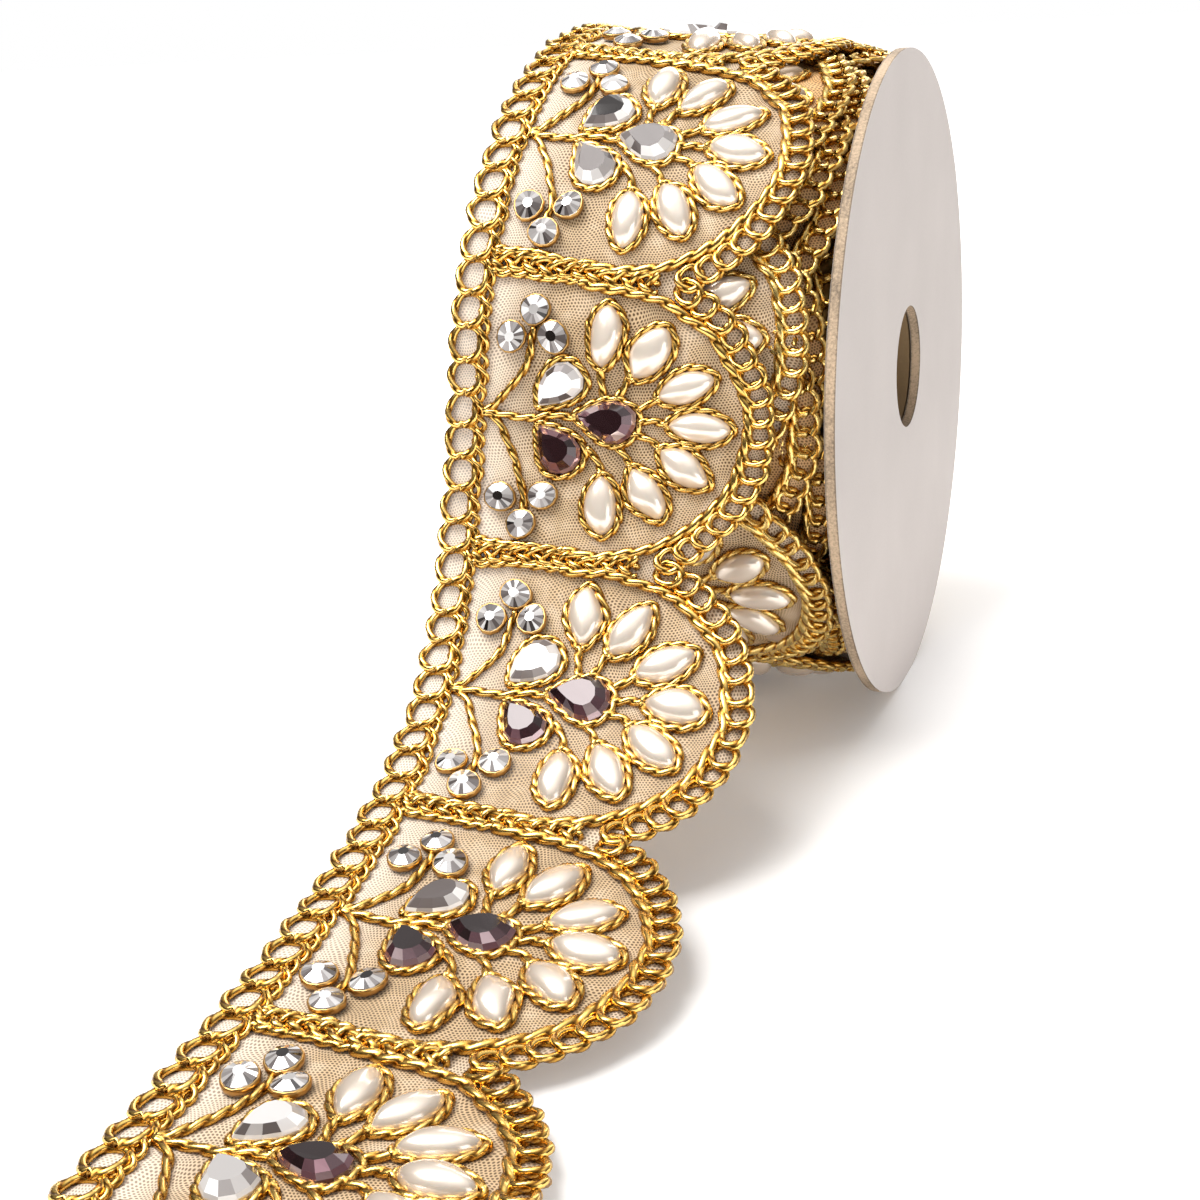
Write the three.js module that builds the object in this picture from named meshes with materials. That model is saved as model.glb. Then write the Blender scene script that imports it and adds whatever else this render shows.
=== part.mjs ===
// A roll of scalloped lace trim on a card spool: one round flange, the core, the wound turns, and the
// outer length, which goes over the top, drops off the front and runs out flat, with pearls and drops on it.
// Spool frame: X runs along the axis and is 0 at the flange's outer face, Y is 0 on the axis and grows
// away from the loose end, Z is up from the surface that the spool lies on.

import * as THREE from "three";

// Card spool, in millimetres
const FLANGE_RADIUS = 52.5;
const FLANGE_THICKNESS = 1.6;
const HOLE_RADIUS = 10;
const FLANGE_REST_WIDTH = 8;
const CORE_WALL = 2.2;
const CORE_PROUD = 0.5;
const GAP = 0.3;

// Wound turns: the radius is that of the net where the outer turn leaves, measured at TAPER_X
const LEAVE_RADIUS = 53.9;
const LEAVE_ANGLE = THREE.MathUtils.degToRad(79.9);
const LEAVE_LENGTH = 57.3;
const TURN_PITCH = 3.0;
const TAPER = 0.092;
const TAPER_X = -30;
const AXIS_RISE = 1.85;
const SAG = 0.6;
const HEADER_X = -48.8;
const SKEW = Math.tan(THREE.MathUtils.degToRad(2.2));
const SKEW_START = -94;
const SKEW_SOFTNESS = 12;
const DEEPEST_TURN = 7;

// Flat pattern of the trim: u across it from the middle of the header's rings, v along it
const REPEAT = 42.7;
const DIP = 1.8;
const DIP_WIDTH = 30;
const LEFT_EDGE = -2.9;
const HEADER_INNER = 3.2;
const SCALLOP_CENTRE = 21.4;
const SCALLOP_OUTER = 25.4;
const SCALLOP_INNER = 20.9;
const BAR_HALF = 2.1;
const RELIEF_STEP = 0.6;
const REPEATS_BACK = 2;
const REPEATS_OUT = 5;
const ROWS_PER_SCALLOP = 13;

// Heights from the net's middle
const CLOTH_BELOW = -0.5;
const CLOTH_ABOVE = 0.5;
const BORDER_ABOVE = 1.0;
const WOUND_BORDER = 1.2;
const WOUND_MOTIF = 2.2;
const SOFT_EDGE = 2.4;

// Free length: how it bends, twists and turns sideways, each per metre, every RUNOUT_SPACING along it
const RUNOUT_SPACING = 26;
const RUNOUT_STEP = 2;
const RUNOUT = [
  { bend: -7.1, twist: -1.2, turn: 2.4 },
  { bend: -17.1, twist: 0.6, turn: 2.1 },
  { bend: -18.5, twist: 1.0, turn: -2.9 },
  { bend: -8.4, twist: -0.8, turn: -1.2 },
  { bend: -0.8, twist: -1.2, turn: -1.6 },
  { bend: -4.7, twist: -2.4, turn: 2.6 },
  { bend: -1.2, twist: 4.0, turn: 0.6 },
  { bend: 0, twist: 0, turn: 0 },
];

// Flat-backed pearls of a repeat, as a fan of pointed ovals: place in the pattern and direction in degrees
const PEARL_LENGTH = 9.0;
const PEARL_WIDTH = 4.9;
const PEARL_HEIGHT = 2.4;
const PEARLS = [
  { u: 21.1, v: -11.6, turn: -89 },
  { u: 27.9, v: -9.6, turn: -55 },
  { u: 33.5, v: -4.8, turn: -26 },
  { u: 35.8, v: 1.3, turn: 4 },
  { u: 33.8, v: 7.6, turn: 38 },
  { u: 28.5, v: 11.9, turn: 60 },
  { u: 21.9, v: 13.9, turn: 87 },
];

// Faceted drops of a repeat: middle, direction of the round end, size, and repeats where it is clear glass
const DROP_HEIGHT = 2.0;
const DROP_TABLE = 0.55;
const CLEAR_GLASS = 0xd9dde2;
const DROPS = [
  { u: 14.4, v: -4.0, turn: -46, length: 8.4, width: 6.2, colour: CLEAR_GLASS, clearIn: [] },
  { u: 14.6, v: 5.2, turn: 49, length: 8.4, width: 6.2, colour: 0x3d2b3d, clearIn: [1, 5] },
  { u: 22.0, v: 0.8, turn: 8, length: 9.2, width: 6.4, colour: 0x5b3f5a, clearIn: [1] },
];

const CARD = { color: 0xddd6cf, roughness: 0.85, metalness: 0 };
const KRAFT = { color: 0x8a6a48, roughness: 0.9, metalness: 0 };
const GOLD_LACE = { color: 0xc9973a, roughness: 0.45, metalness: 0.35 };
const PEARL = { color: 0xf3ece0, roughness: 0.22, metalness: 0 };

const TURN = 2 * Math.PI;
const HUB_HEIGHT = Math.sqrt(FLANGE_RADIUS ** 2 - (FLANGE_REST_WIDTH / 2) ** 2);
const AXIS_HEIGHT = HUB_HEIGHT + AXIS_RISE;

function mesh(name, geometry, look) {
  const made = new THREE.Mesh(geometry, new THREE.MeshStandardMaterial(look));
  made.name = name;
  return made;
}

function indexed(points, faces) {
  const geometry = new THREE.BufferGeometry();
  geometry.setAttribute("position", new THREE.Float32BufferAttribute(points.flatMap((p) => p.toArray()), 3));
  geometry.setIndex(faces.flat());
  geometry.computeVertexNormals();
  return geometry;
}

// Angle round the roll, 0 at the top and growing towards the front, of length s along the trim, which is
// a spiral: the radius grows by TURN_PITCH for each turn.
function angleAt(s) {
  const root = Math.sqrt(LEAVE_RADIUS ** 2 + (TURN_PITCH / Math.PI) * (s - LEAVE_LENGTH));
  return LEAVE_ANGLE + ((root - LEAVE_RADIUS) * TURN) / TURN_PITCH;
}

function lengthAt(angle) {
  const turned = angle - LEAVE_ANGLE;
  return LEAVE_LENGTH + LEAVE_RADIUS * turned + (TURN_PITCH * turned ** 2) / (2 * TURN);
}

function radiusAt(angle, x) {
  const sag = SAG * ((1 - Math.cos(angle)) / 2) ** 2;
  return LEAVE_RADIUS + (TURN_PITCH * (angle - LEAVE_ANGLE)) / TURN - TAPER * (x - TAPER_X) - sag;
}

function round(angle, x, radius, height) {
  return new THREE.Vector3(x, -radius * Math.sin(angle), height + radius * Math.cos(angle));
}

// The outer turn drifts off towards the left from SKEW_START on, where it was pulled out sideways.
function headerX(s) {
  return HEADER_X - SKEW * SKEW_SOFTNESS * Math.log1p(Math.exp((s - SKEW_START) / SKEW_SOFTNESS));
}

function skewAt(s) {
  return Math.atan(SKEW / (1 + Math.exp(-(s - SKEW_START) / SKEW_SOFTNESS)));
}

// Middle of the header and the directions along, across and out of the trim, where it lies on the roll.
function frameOnRoll(s) {
  const angle = angleAt(s);
  const x = headerX(s);
  const skew = skewAt(s);
  const forward = new THREE.Vector3(0, -Math.cos(angle), -Math.sin(angle));
  const side = new THREE.Vector3(1, TAPER * Math.sin(angle), -TAPER * Math.cos(angle)).normalize();
  const along = forward.clone().multiplyScalar(Math.cos(skew)).addScaledVector(side, -Math.sin(skew));
  const across = side.clone().multiplyScalar(Math.cos(skew)).addScaledVector(forward, Math.sin(skew));
  const out = new THREE.Vector3().crossVectors(along, across);
  return { centre: round(angle, x, radiusAt(angle, x), AXIS_HEIGHT), along, across, out };
}

function rateAt(column, distance) {
  const at = Math.min(distance / RUNOUT_SPACING, RUNOUT.length - 1.001);
  const row = Math.floor(at);
  return THREE.MathUtils.lerp(RUNOUT[row][column], RUNOUT[row + 1][column], at - row) / 1000;
}

// Frames of the free length, one every RUNOUT_STEP, each turned from the one before by the table's rates.
function runoutFrames() {
  const frames = [frameOnRoll(LEAVE_LENGTH)];
  const steps = Math.ceil((REPEATS_OUT * REPEAT + BAR_HALF - LEAVE_LENGTH) / RUNOUT_STEP) + 1;
  for (let i = 0; i < steps; i++) {
    const last = frames[i];
    const distance = (i + 0.5) * RUNOUT_STEP;
    const spin = new THREE.Vector3()
      .addScaledVector(last.across, rateAt("bend", distance))
      .addScaledVector(last.along, -rateAt("twist", distance))
      .addScaledVector(last.out, rateAt("turn", distance));
    const angle = spin.length() * RUNOUT_STEP;
    spin.normalize();
    const turned = (v) => v.clone().applyAxisAngle(spin, angle);
    const next = { along: turned(last.along), across: turned(last.across), out: turned(last.out) };
    next.centre = last.centre.clone().addScaledVector(last.along.clone().add(next.along), RUNOUT_STEP / 2);
    frames.push(next);
  }
  return frames;
}

const runout = runoutFrames();

// A point of the trim: s along it from the first bar, u across it, h out of it.
function place(s, u, h) {
  if (s <= LEAVE_LENGTH) {
    const f = frameOnRoll(s);
    return f.centre.addScaledVector(f.across, u).addScaledVector(f.out, h);
  }
  const at = (s - LEAVE_LENGTH) / RUNOUT_STEP;
  const i = Math.min(Math.floor(at), runout.length - 2);
  const [a, b] = [runout[i], runout[i + 1]];
  return a.centre
    .clone()
    .lerp(b.centre, at - i)
    .addScaledVector(a.across.clone().lerp(b.across, at - i), u)
    .addScaledVector(a.out.clone().lerp(b.out, at - i), h);
}

function dip(u) {
  return DIP * Math.min(1, Math.max(0, u) / DIP_WIDTH) ** 2;
}

function circleEdge(radius, w) {
  return SCALLOP_CENTRE + Math.sqrt(Math.max(0, radius ** 2 - w ** 2));
}

// Closed solid through a row of loops of equal length: the loops' sides, and at each end a cap of strips
// between the loop's first half and its second half.
function loftedStrip(loops) {
  const n = loops[0].length;
  const faces = [];
  for (let row = 0; row + 1 < loops.length; row++) {
    for (let i = 0; i < n; i++) {
      const j = (i + 1) % n;
      const [a, b, c, d] = [row * n + i, row * n + j, (row + 1) * n + j, (row + 1) * n + i];
      faces.push([a, c, b], [a, d, c]);
    }
  }
  for (let i = 0; i + 1 < n / 2; i++) {
    const [a, b, c, d] = [i, i + 1, n - 2 - i, n - 1 - i];
    const end = (loops.length - 1) * n;
    faces.push([a, b, c], [a, c, d], [end + a, end + c, end + b], [end + a, end + d, end + c]);
  }
  return indexed(loops.flat(), faces);
}

// Places across the pattern, from a bar's middle to the next bar's middle, where the trim has a row.
function rowPlaces() {
  const half = REPEAT / 2;
  const clear = half - BAR_HALF;
  const places = [-half, -clear, -clear + RELIEF_STEP];
  const reach = clear - 2 * RELIEF_STEP;
  for (let i = 1; i < ROWS_PER_SCALLOP; i++) {
    places.push(-reach * Math.cos((Math.PI * i) / ROWS_PER_SCALLOP));
  }
  return [...places, clear - RELIEF_STEP, clear];
}

// Section of the trim on one row: the borders stand higher than the net between them.
function trimLoop(middle, w) {
  const onBar = Math.abs(w) > REPEAT / 2 - BAR_HALF - RELIEF_STEP / 2;
  const edge = circleEdge(SCALLOP_OUTER, w);
  const inner = Math.min(circleEdge(SCALLOP_INNER, w), edge - RELIEF_STEP);
  const low = onBar ? BORDER_ABOVE : CLOTH_ABOVE;
  const top = [
    [LEFT_EDGE, BORDER_ABOVE],
    [HEADER_INNER, BORDER_ABOVE],
    [HEADER_INNER + RELIEF_STEP, low],
    [(HEADER_INNER + inner) / 2, low],
    [inner - RELIEF_STEP, low],
    [inner, BORDER_ABOVE],
    [edge, BORDER_ABOVE],
  ];
  const at = ([u, h]) => place(middle + w + dip(u), u, h);
  const bottom = top.map(([u]) => [u, CLOTH_BELOW]).reverse();
  return [...top, ...bottom].map(at);
}

function trimGeometry() {
  const places = rowPlaces();
  const loops = [];
  for (let k = -REPEATS_BACK; k < REPEATS_OUT; k++) {
    for (const w of places) loops.push(trimLoop((k + 0.5) * REPEAT, w));
  }
  const lastMiddle = (REPEATS_OUT - 0.5) * REPEAT;
  for (const w of [REPEAT / 2, REPEAT / 2 + BAR_HALF]) loops.push(trimLoop(lastMiddle, w));
  return loftedStrip(loops);
}

// Relief of a wound turn at u, w of its pattern.
function woundRelief(u, w) {
  const onBorder =
    u < HEADER_INNER + 1 || Math.abs(w) > REPEAT / 2 - BAR_HALF - 1 || u > circleEdge(SCALLOP_INNER - 1, w);
  return onBorder ? WOUND_BORDER : WOUND_MOTIF;
}

// Outer surface of the wound turns in one direction: from the deepest turn outwards, each one covers the
// last as far as its scallops reach, with a soft edge.
function woundRadius(direction, x) {
  let radius = radiusAt(direction - (DEEPEST_TURN + 1) * TURN, x);
  for (let turn = DEEPEST_TURN; turn >= 1; turn--) {
    const angle = direction - turn * TURN;
    const s = lengthAt(angle);
    const u = x - headerX(s);
    const phase = (s - dip(u)) / REPEAT;
    const w = (phase - Math.floor(phase) - 0.5) * REPEAT;
    const cover = THREE.MathUtils.smoothstep(circleEdge(SCALLOP_OUTER, w) - u, 0, SOFT_EDGE);
    radius = THREE.MathUtils.lerp(radius, radiusAt(angle, x) + woundRelief(u, w), cover);
  }
  return radius;
}

// Wound turns as one ring: sections round the axis, which start where the outer length begins.
function rollGeometry() {
  const sections = 126;
  const left = HEADER_X + LEFT_EDGE;
  const right = -FLANGE_THICKNESS - GAP;
  const stations = [left, left + 6, left + 7, -38, -31, -24, -17, -13.4, -11, -8.8, -6.8, -5, -3.4, right];
  const bore = HOLE_RADIUS + CORE_WALL + GAP;
  const first = angleAt(-REPEATS_BACK * REPEAT) - GAP / LEAVE_RADIUS;
  const span = TURN - 0.1 / LEAVE_RADIUS;
  const points = [];
  for (let i = 0; i < sections; i++) {
    const direction = first + (span * i) / (sections - 1);
    for (const x of stations) points.push(round(direction, x, woundRadius(direction, x), AXIS_HEIGHT));
    for (const x of [right, left]) points.push(round(direction, x, bore, AXIS_HEIGHT));
  }
  for (const p of points) p.z = Math.max(p.z, 0);
  const n = stations.length + 2;
  const faces = [];
  for (let i = 0; i < sections; i++) {
    for (let j = 0; j < n; j++) {
      const k = (j + 1) % n;
      const next = (i + 1) % sections;
      const [a, b, c, d] = [i * n + j, i * n + k, next * n + k, next * n + j];
      faces.push([a, c, b], [a, d, c]);
    }
  }
  return indexed(points, faces);
}

// Round card with a small flat at its lowest side, pressed there by its own weight. The card hangs a
// little low, so its hole stands above its middle, in line with the core.
function flangeGeometry() {
  const tilt = Math.asin(FLANGE_REST_WIDTH / 2 / FLANGE_RADIUS);
  const outline = new THREE.Shape();
  outline.absarc(0, 0, FLANGE_RADIUS, -Math.PI / 2 + tilt, (3 * Math.PI) / 2 - tilt, false);
  outline.closePath();
  const hole = new THREE.Path();
  hole.absarc(0, AXIS_RISE, HOLE_RADIUS, 0, TURN, true);
  outline.holes.push(hole);
  const options = { depth: FLANGE_THICKNESS, bevelEnabled: false, curveSegments: 48 };
  const geometry = new THREE.ExtrudeGeometry(outline, options);
  geometry.rotateX(Math.PI / 2).rotateZ(Math.PI / 2);
  return geometry.translate(-FLANGE_THICKNESS, 0, HUB_HEIGHT);
}

function coreGeometry() {
  const right = -FLANGE_THICKNESS - GAP;
  const left = HEADER_X + LEFT_EDGE - CORE_PROUD;
  const outer = HOLE_RADIUS + CORE_WALL;
  const profile = [
    [HOLE_RADIUS, left],
    [outer, left],
    [outer, right],
    [HOLE_RADIUS, right],
    [HOLE_RADIUS, left],
  ].map(([r, x]) => new THREE.Vector2(r, x));
  const geometry = new THREE.LatheGeometry(profile, 48);
  return geometry.rotateZ(-Math.PI / 2).translate(0, 0, AXIS_HEIGHT);
}

// Small gem on the trim: rings of its outline, each at a share of its full size and a height, then a top.
function gemGeometry(middle, gem, outline, rings) {
  const turn = THREE.MathUtils.degToRad(gem.turn);
  const [c, s] = [Math.cos(turn), Math.sin(turn)];
  const points = [];
  for (const { share, height } of rings) {
    for (const [x, y] of outline) {
      const [a, b] = [x * share, y * share];
      points.push(place(middle + gem.v + a * s + b * c, gem.u + a * c - b * s, height));
    }
  }
  const n = outline.length;
  const faces = [];
  for (let ring = 0; ring + 1 < rings.length; ring++) {
    for (let i = 0; i < n; i++) {
      const j = (i + 1) % n;
      faces.push([ring * n + i, (ring + 1) * n + j, (ring + 1) * n + i]);
      faces.push([ring * n + i, ring * n + j, (ring + 1) * n + j]);
    }
  }
  const top = (rings.length - 1) * n;
  for (let i = 1; i + 1 < n; i++) faces.push([0, i + 1, i], [top, top + i, top + i + 1]);
  return indexed(points, faces);
}

// Outline of a gem with a point at its start and, by blunt, a rounder far end.
function pointedOval(length, width, blunt) {
  const sides = 14;
  return Array.from({ length: sides }, (_, i) => {
    const t = (TURN * (i + 0.5)) / sides;
    const x = -Math.cos(t);
    const fullness = Math.abs(Math.sin(t)) ** (x < 0 ? 1.35 : 1.35 - blunt);
    return [(x * length) / 2, (Math.sign(Math.sin(t)) * fullness * width) / 2];
  });
}

function pearlGeometry(middle, pearl) {
  const base = CLOTH_ABOVE + GAP;
  const rings = [
    { share: 0.94, height: base },
    { share: 1, height: base + 0.25 * PEARL_HEIGHT },
    { share: 0.72, height: base + 0.8 * PEARL_HEIGHT },
    { share: 0.3, height: base + PEARL_HEIGHT },
  ];
  return gemGeometry(middle, pearl, pointedOval(PEARL_LENGTH, PEARL_WIDTH, 0.15), rings);
}

function dropGeometry(middle, drop) {
  const base = CLOTH_ABOVE + GAP;
  const rings = [
    { share: 0.95, height: base },
    { share: 1, height: base + 0.4 * DROP_HEIGHT },
    { share: DROP_TABLE, height: base + DROP_HEIGHT },
  ];
  return gemGeometry(middle, drop, pointedOval(drop.length, drop.width, 0.75), rings);
}

const spool = new THREE.Group();
spool.add(mesh("flange", flangeGeometry(), CARD));
spool.add(mesh("core", coreGeometry(), KRAFT));
spool.add(mesh("wound_turns", rollGeometry(), GOLD_LACE));
spool.add(mesh("trim", trimGeometry(), GOLD_LACE));
for (let k = 0; k < REPEATS_OUT; k++) {
  const middle = (k + 0.5) * REPEAT;
  PEARLS.forEach((pearl, i) => {
    spool.add(mesh(`pearl_${k + 1}_${i + 1}`, pearlGeometry(middle, pearl), PEARL));
  });
  DROPS.forEach((drop, i) => {
    const colour = drop.clearIn.includes(k + 1) ? CLEAR_GLASS : drop.colour;
    const look = { color: colour, roughness: 0.08, metalness: 0 };
    spool.add(mesh(`drop_${k + 1}_${i + 1}`, dropGeometry(middle, drop), look));
  });
}

// The part's own origin lies under the middle of its outline, on the surface that it rests on.
const bounds = new THREE.Box3().setFromObject(spool, true);
const centre = bounds.getCenter(new THREE.Vector3());
spool.position.set(-centre.x, -centre.y, -bounds.min.z);

const part = new THREE.Group();
part.add(spool);

export default part;
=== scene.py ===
import logging
import math
from collections.abc import Callable
from dataclasses import dataclass, field
from enum import Enum

import bpy
import numpy as np
from bpy.types import Material, Mesh, Node, NodeSocket, NodeTree, Object
from mathutils import Matrix, Vector


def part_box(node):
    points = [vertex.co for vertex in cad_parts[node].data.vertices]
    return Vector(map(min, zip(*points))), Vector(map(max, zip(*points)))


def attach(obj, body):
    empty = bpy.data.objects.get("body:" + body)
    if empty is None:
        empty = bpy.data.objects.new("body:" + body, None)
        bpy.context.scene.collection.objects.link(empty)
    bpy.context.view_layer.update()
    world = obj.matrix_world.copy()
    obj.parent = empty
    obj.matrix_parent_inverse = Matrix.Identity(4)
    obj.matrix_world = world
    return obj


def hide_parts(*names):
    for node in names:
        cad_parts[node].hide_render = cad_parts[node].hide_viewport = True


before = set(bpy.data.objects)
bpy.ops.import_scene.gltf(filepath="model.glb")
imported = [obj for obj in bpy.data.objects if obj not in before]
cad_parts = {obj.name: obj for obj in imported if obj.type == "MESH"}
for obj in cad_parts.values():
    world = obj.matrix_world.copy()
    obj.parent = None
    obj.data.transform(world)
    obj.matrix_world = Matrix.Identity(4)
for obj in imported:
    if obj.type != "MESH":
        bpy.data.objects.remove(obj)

# Roll of scalloped lace trim on a card spool. The lace's pattern is drawn flat, in millimetres, once for a
# repeat: u runs across it from the middle of the header's rings, v along it and h out of it. Each repeat is
# then laid on the winding, which goes round the spool, over the top and out along the surface.

MM = 0.001
SEED = 4343
WHITE = (1.0, 1.0, 1.0)
Colour = tuple[float, float, float]
Stops = tuple[tuple[float, Colour], ...]
log = logging.getLogger("lace_roll")


# Winding

@dataclass(frozen=True)
class RunoutRow:
    """How the free length bends, twists and turns sideways at one place, each per metre."""

    bend: float
    twist: float
    turn: float


@dataclass
class Winding:
    """The line that the trim follows, in millimetres: s along it from the first bar in front.

    The net leaves the roll at leave_length and leave_angle, with leave_radius at taper_x. Towards the
    flange the roll tapers, and its underside sags. The header lies at header_x and drifts left by skew
    from skew_start on. The free length's rows are spacing apart, and it is marched in steps.
    """

    leave_radius: float = 53.9
    leave_angle: float = math.radians(79.9)
    leave_length: float = 57.3
    turn_pitch: float = 3.0
    taper: float = 0.092
    taper_x: float = -30.0
    axis_rise: float = 1.85
    sag: float = 0.6
    header_x: float = -48.8
    skew: float = math.tan(math.radians(2.2))
    skew_start: float = -94.0
    skew_softness: float = 12.0
    flange_radius: float = 52.5
    innermost: float = -2760.0
    length: float = 217.0
    spacing: float = 26.0
    step: float = 1.0
    lowest: float = 0.03
    rows: tuple[RunoutRow, ...] = (
        RunoutRow(bend=-7.1, twist=-1.2, turn=2.4),
        RunoutRow(bend=-17.1, twist=0.6, turn=2.1),
        RunoutRow(bend=-18.5, twist=1.0, turn=-2.9),
        RunoutRow(bend=-8.4, twist=-0.8, turn=-1.2),
        RunoutRow(bend=-0.8, twist=-1.2, turn=-1.6),
        RunoutRow(bend=-4.7, twist=-2.4, turn=2.6),
        RunoutRow(bend=-1.2, twist=4.0, turn=0.6),
        RunoutRow(bend=0.0, twist=0.0, turn=0.0),
    )

    def __post_init__(self) -> None:
        """Finds the spool's place in the frame and works out the stations."""
        low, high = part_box("flange")
        self.face_x = high[0] / MM
        self.axis_y = (low[1] + high[1]) / 2 / MM
        self.card = (high[0] - low[0]) / MM
        self.axis_z = high[2] / MM - self.flange_radius + self.axis_rise
        self.stations, self.frames = self._stations()

    def angle_at(self, s: np.ndarray) -> np.ndarray:
        """Angle round the roll, 0 at the top and growing to the front, of length s."""
        root = np.sqrt(self.leave_radius**2 + self.turn_pitch / math.pi * (s - self.leave_length))
        return self.leave_angle + (root - self.leave_radius) * math.tau / self.turn_pitch

    def radius_at(self, angle: np.ndarray, x: np.ndarray) -> np.ndarray:
        """Radius of the net at this angle and place along the axis."""
        sag = self.sag * ((1 - np.cos(angle)) / 2) ** 2
        grown = self.turn_pitch * (angle - self.leave_angle) / math.tau
        return self.leave_radius + grown - self.taper * (x - self.taper_x) - sag

    def round(self, angle: np.ndarray, x: np.ndarray, radius: np.ndarray) -> np.ndarray:
        """Points on circles round the roll's axis."""
        return np.stack([x + 0 * angle, -radius * np.sin(angle), self.axis_z + radius * np.cos(angle)], -1)

    def _on_roll(self, s: np.ndarray) -> np.ndarray:
        """Frames on the roll.

        Args:
            s: lengths along the trim.

        Returns:
            One row of 12 numbers for each length: middle, along, across and out.
        """
        past = (s - self.skew_start) / self.skew_softness
        angle = self.angle_at(s)
        x = self.header_x - self.skew * self.skew_softness * np.logaddexp(0, past)
        skew = np.arctan(self.skew / (1 + np.exp(-past)))
        forward = np.stack([0 * s, -np.cos(angle), -np.sin(angle)], -1)
        side = np.stack([0 * s + 1, self.taper * np.sin(angle), -self.taper * np.cos(angle)], -1)
        side /= np.linalg.norm(side, axis=1, keepdims=True)
        c, t = np.cos(skew)[:, None], np.sin(skew)[:, None]
        along, across = c * forward - t * side, c * side + t * forward
        middle = self.round(angle, x, self.radius_at(angle, x))
        return np.hstack([middle, along, across, np.cross(along, across)])

    def _stations(self) -> tuple[np.ndarray, np.ndarray]:
        """Lengths and frames all along the trim, the free length marched on from where it leaves."""
        lengths = [*np.arange(self.innermost, self.leave_length, self.step), self.leave_length]
        frames = list(self._on_roll(np.array(lengths)))
        table = np.array([[r.bend, r.twist, r.turn] for r in self.rows]) / 1000
        at = np.arange(len(self.rows)) * self.spacing
        while lengths[-1] < self.length + 2 * self.step:
            last = frames[-1]
            middle, along, across, out = last[:3], Vector(last[3:6]), Vector(last[6:9]), Vector(last[9:])
            distance = lengths[-1] - self.leave_length + self.step / 2
            bend, twist, turn = (np.interp(distance, at, table[:, i]) for i in range(3))
            spin = across * bend - along * twist + out * turn
            turned = Matrix.Rotation(spin.length * self.step, 3, spin)
            after = turned @ along
            moved = np.array(along + after) * self.step / 2
            frames.append(np.concatenate([middle + moved, after, turned @ across, turned @ out]))
            lengths.append(lengths[-1] + self.step)
        return np.array(lengths), np.array(frames)

    def lay(self, flat: np.ndarray, middle: float) -> np.ndarray:
        """Lays flat points on the winding.

        Args:
            flat: rows of u, v, h in millimetres.
            middle: length along the trim where v is 0.

        Returns:
            The points in metres, in the part's frame, none of them below the surface.
        """
        s = middle + flat[:, 1]
        f = np.stack([np.interp(s, self.stations, column) for column in self.frames.T], -1)
        return self.to_part(f[:, :3] + f[:, 6:9] * flat[:, :1] + f[:, 9:] * flat[:, 2:])

    def to_part(self, p: np.ndarray) -> np.ndarray:
        """Spool millimetres to metres in the part's frame, lifted to the surface where they are below it."""
        moved = (p + np.array([self.face_x, self.axis_y, 0.0])) * MM
        moved[:, 2] = np.maximum(moved[:, 2], self.lowest * MM)
        return moved


# Meshes

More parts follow.
